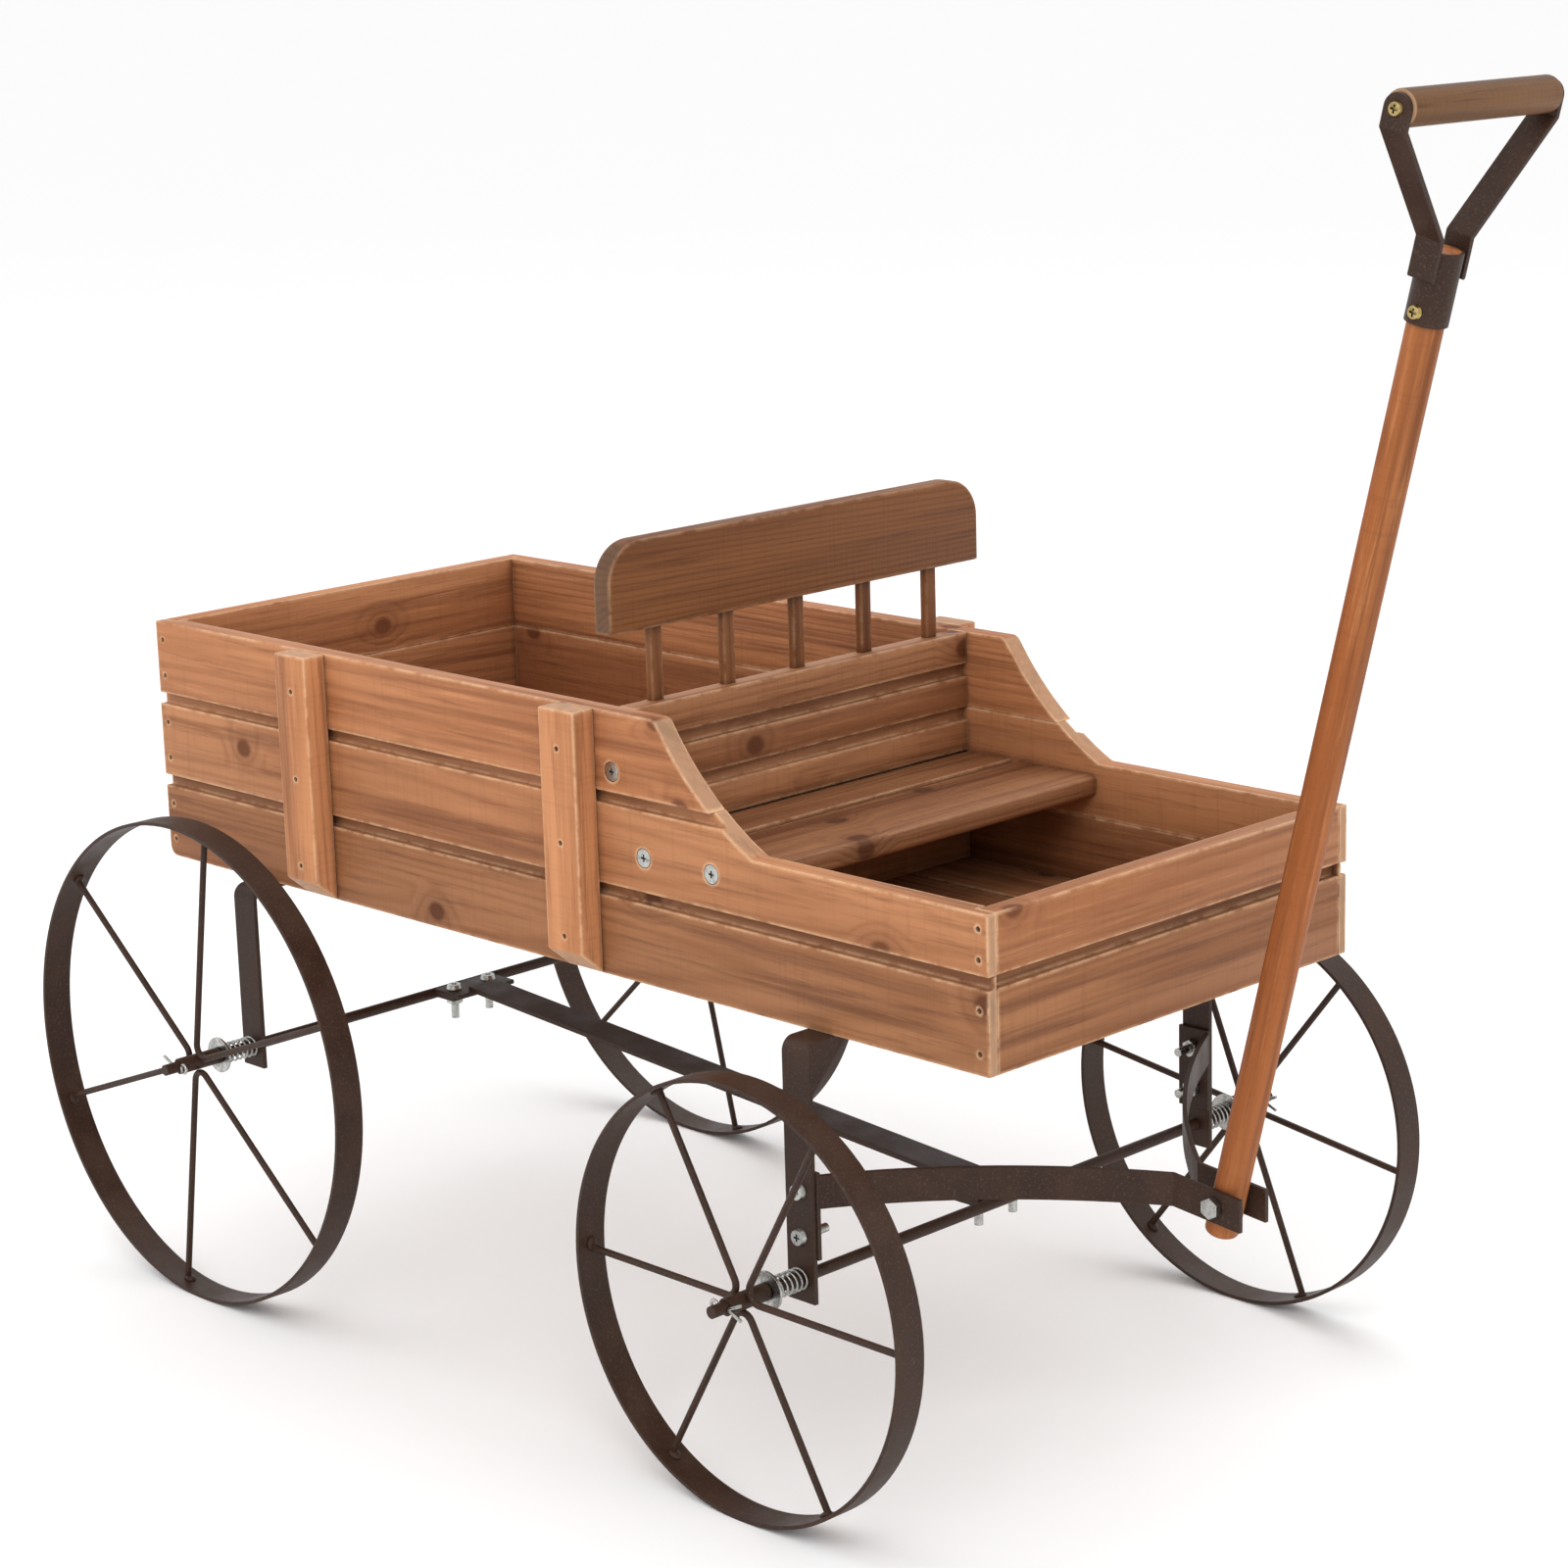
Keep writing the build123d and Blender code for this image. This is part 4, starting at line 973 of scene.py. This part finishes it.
class WAGON_OT_handle(Operator):
    """Handle shaft with a worn foot, and the turned grip"""

    bl_idname = "wagon.handle"
    bl_label = "Handle"

    def execute(self, context):
        pivot = handle_pivot()
        low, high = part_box("handle_grip")
        way = ((low + high) / 2 - pivot).normalized()
        shaft_low, shaft_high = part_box("handle_shaft")
        radius = (shaft_high.y - shaft_low.y) / 2
        top = (shaft_high.z - pivot.z - radius * sqrt(1 - way.z**2)) / way.z
        foot = pivot - way * wood().shaft_foot
        piece = rod("handle_shaft_wood", foot, pivot + way * top, radius)
        edit(piece)
        pick_faces(piece, lambda c, n: n.dot(way) < -FACING)
        bpy.ops.mesh.bevel(offset=wood().foot_rounding, segments=4, affect="EDGES")
        object_mode()
        number_boards(piece, NUMBERS["shaft"])
        shaft_wood = bpy.data.materials["shaft_wood"]
        finish_piece(piece, shaft_wood, "handle", "handle_wood", "handle_shaft", angle=0.9)

        centre = (low + high) / 2
        start = Vector((centre.x, low.y, centre.z))
        end = Vector((centre.x, high.y, centre.z))
        piece = rod("handle_grip_wood", start, end, (high.z - low.z) / 2)
        edit(piece)
        for out in (-1, 1):
            pick_faces(piece, lambda c, n: n.y * out > FACING)
            bpy.ops.mesh.bevel(offset=wood().grip_rounding, segments=3, affect="EDGES")
        object_mode()
        number_boards(piece, NUMBERS["grip"])
        turned_wood = bpy.data.materials["turned_wood"]
        finish_piece(piece, turned_wood, "handle", "grip_wood", "handle_grip", angle=0.9)
        return {"FINISHED"}


class WAGON_OT_ironwork(Operator):
    """Finishes of the iron and the fasteners, and the weld beads of the wheels"""

    bl_idname = "wagon.ironwork"
    bl_label = "Ironwork"

    def execute(self, context):
        finishes = {
            "brown_metal": "painted_iron",
            "zinc": "zinc_plating",
            "yellow_zinc": "yellow_plating",
            "nail_steel": "sunk_steel",
        }
        for part in frame["record"]["subparts"]:
            finish = finishes.get(part["material_slot"])
            if finish:
                for slot in frame["nodes"][part["node"]].material_slots:
                    slot.material = bpy.data.materials[finish]
        iron = bpy.data.materials["painted_iron"]
        for wheel in WHEELS:
            beads = self.weld_beads(wheel)
            finish_piece(beads, iron, f"wheel_{wheel}", "brown_metal", angle=1.2)
        return {"FINISHED"}

    def weld_beads(self, wheel):
        """A bead where each spoke meets the rim."""
        low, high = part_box(f"rim_{wheel}")
        centre = (low + high) / 2
        vertices = [vertex.co for vertex in frame["nodes"][f"spokes_{wheel}"].data.vertices]
        reach = max((vertex - centre).length for vertex in vertices)
        tips = []
        for vertex in vertices:
            if (vertex - centre).length < reach - metal().tip_depth:
                continue
            way = (vertex - centre).normalized()
            if all(way.dot(tip) < SAME_SPOKE for tip in tips):
                tips.append(way)
        beads = []
        for way in tips:
            object_mode()
            place = centre + way * (reach - metal().weld_sink)
            bpy.ops.mesh.primitive_uv_sphere_add(
                segments=16, ring_count=8, radius=metal().weld, location=place
            )
            bead = bpy.context.object
            bead.rotation_euler = way.to_track_quat("Z", "Y").to_euler()
            bead.scale = WELD_SHAPE
            bpy.ops.object.transform_apply(location=True, rotation=True, scale=True)
            beads.append(bead)
        return join(f"weld_beads_{wheel}", beads)


class WAGON_OT_springs(Operator):
    """Zinc-plated coil springs of the four wheels"""

    bl_idname = "wagon.springs"
    bl_label = "Springs"

    def execute(self, context):
        for wheel in WHEELS:
            node = f"spring_{wheel}"
            piece = bpy.data.objects.new(f"{node}_coil", frame["nodes"][node].data.copy())
            context.scene.collection.objects.link(piece)
            finish_piece(piece, bpy.data.materials["zinc_plating"], "wagon", "zinc", node, angle=1.2)
            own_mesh(piece)
        return {"FINISHED"}


class WAGON_OT_stage(Operator):
    """Pale floor, soft studio light and the camera"""

    bl_idname = "wagon.stage"
    bl_label = "Stage"

    def execute(self, context):
        settings = context.scene.wagon_stage
        object_mode()
        bpy.ops.mesh.primitive_plane_add(size=settings.floor_size, location=(0, 0, 0))
        floor = context.object
        floor.name = "studio_floor"
        material, tree, shader = new_material("studio_floor")
        feed(tree, shader.inputs["Base Color"], settings.floor)
        shader.inputs["Roughness"].default_value = 0.9
        floor.data.materials.append(material)

        world = bpy.data.worlds.new("studio")
        context.scene.world = world
        world.use_nodes = True
        world.node_tree.nodes["Background"].inputs["Color"].default_value = (1, 1, 1, 1)
        world.node_tree.nodes["Background"].inputs["Strength"].default_value = 1.0
        for name, place, size, power in LAMPS:
            light = bpy.data.lights.new(name, "AREA")
            light.size = size
            light.energy = power
            lamp = bpy.data.objects.new(name, light)
            lamp.location = place
            aim = LAMP_AIM - Vector(place)
            lamp.rotation_euler = aim.to_track_quat("-Z", "Y").to_euler()
            context.scene.collection.objects.link(lamp)

        camera = bpy.data.objects.new("camera", bpy.data.cameras.new("camera"))
        camera.location = settings.camera_place
        camera.rotation_euler = settings.camera_turn
        camera.data.lens = settings.lens
        camera.data.sensor_width = 36
        camera.data.clip_start = 0.05
        context.scene.collection.objects.link(camera)
        context.scene.camera = camera
        context.scene.view_settings.view_transform = "Standard"
        return {"FINISHED"}


class WAGON_PT_panel(Panel):
    """Lists the wagon's settings and steps"""

    bl_idname = "WAGON_PT_panel"
    bl_label = "Wagon"
    bl_space_type = "VIEW_3D"
    bl_region_type = "UI"
    bl_category = "Wagon"

    def draw(self, context):
        for operator in OPERATORS:
            self.layout.operator(operator.bl_idname)
        for settings in (context.scene.wagon_wood, context.scene.wagon_metal, context.scene.wagon_stage):
            box = self.layout.box()
            for name in settings.__annotations__:
                box.prop(settings, name)


SETTINGS = {
    "wagon_wood": WagonWoodSettings,
    "wagon_metal": WagonMetalSettings,
    "wagon_stage": WagonStageSettings,
}
OPERATORS = (
    WAGON_OT_materials,
    WAGON_OT_walls,
    WAGON_OT_battens,
    WAGON_OT_divider,
    WAGON_OT_floor_boards,
    WAGON_OT_bench,
    WAGON_OT_handle,
    WAGON_OT_ironwork,
    WAGON_OT_springs,
    WAGON_OT_stage,
)


def register():
    for name, settings in SETTINGS.items():
        bpy.utils.register_class(settings)
        setattr(bpy.types.Scene, name, PointerProperty(type=settings))
    for operator in OPERATORS:
        bpy.utils.register_class(operator)
    bpy.utils.register_class(WAGON_PT_panel)


def unregister():
    bpy.utils.unregister_class(WAGON_PT_panel)
    for operator in reversed(OPERATORS):
        bpy.utils.unregister_class(operator)
    for name, settings in SETTINGS.items():
        delattr(bpy.types.Scene, name)
        bpy.utils.unregister_class(settings)


def main():
    """Build the whole wagon."""
    register()
    bpy.ops.wagon.materials()
    bpy.ops.wagon.walls()
    bpy.ops.wagon.battens()
    bpy.ops.wagon.divider()
    bpy.ops.wagon.floor_boards()
    bpy.ops.wagon.bench()
    bpy.ops.wagon.handle()
    bpy.ops.wagon.ironwork()
    bpy.ops.wagon.springs()
    bpy.ops.wagon.stage()


if __name__ == "__main__":
    main()
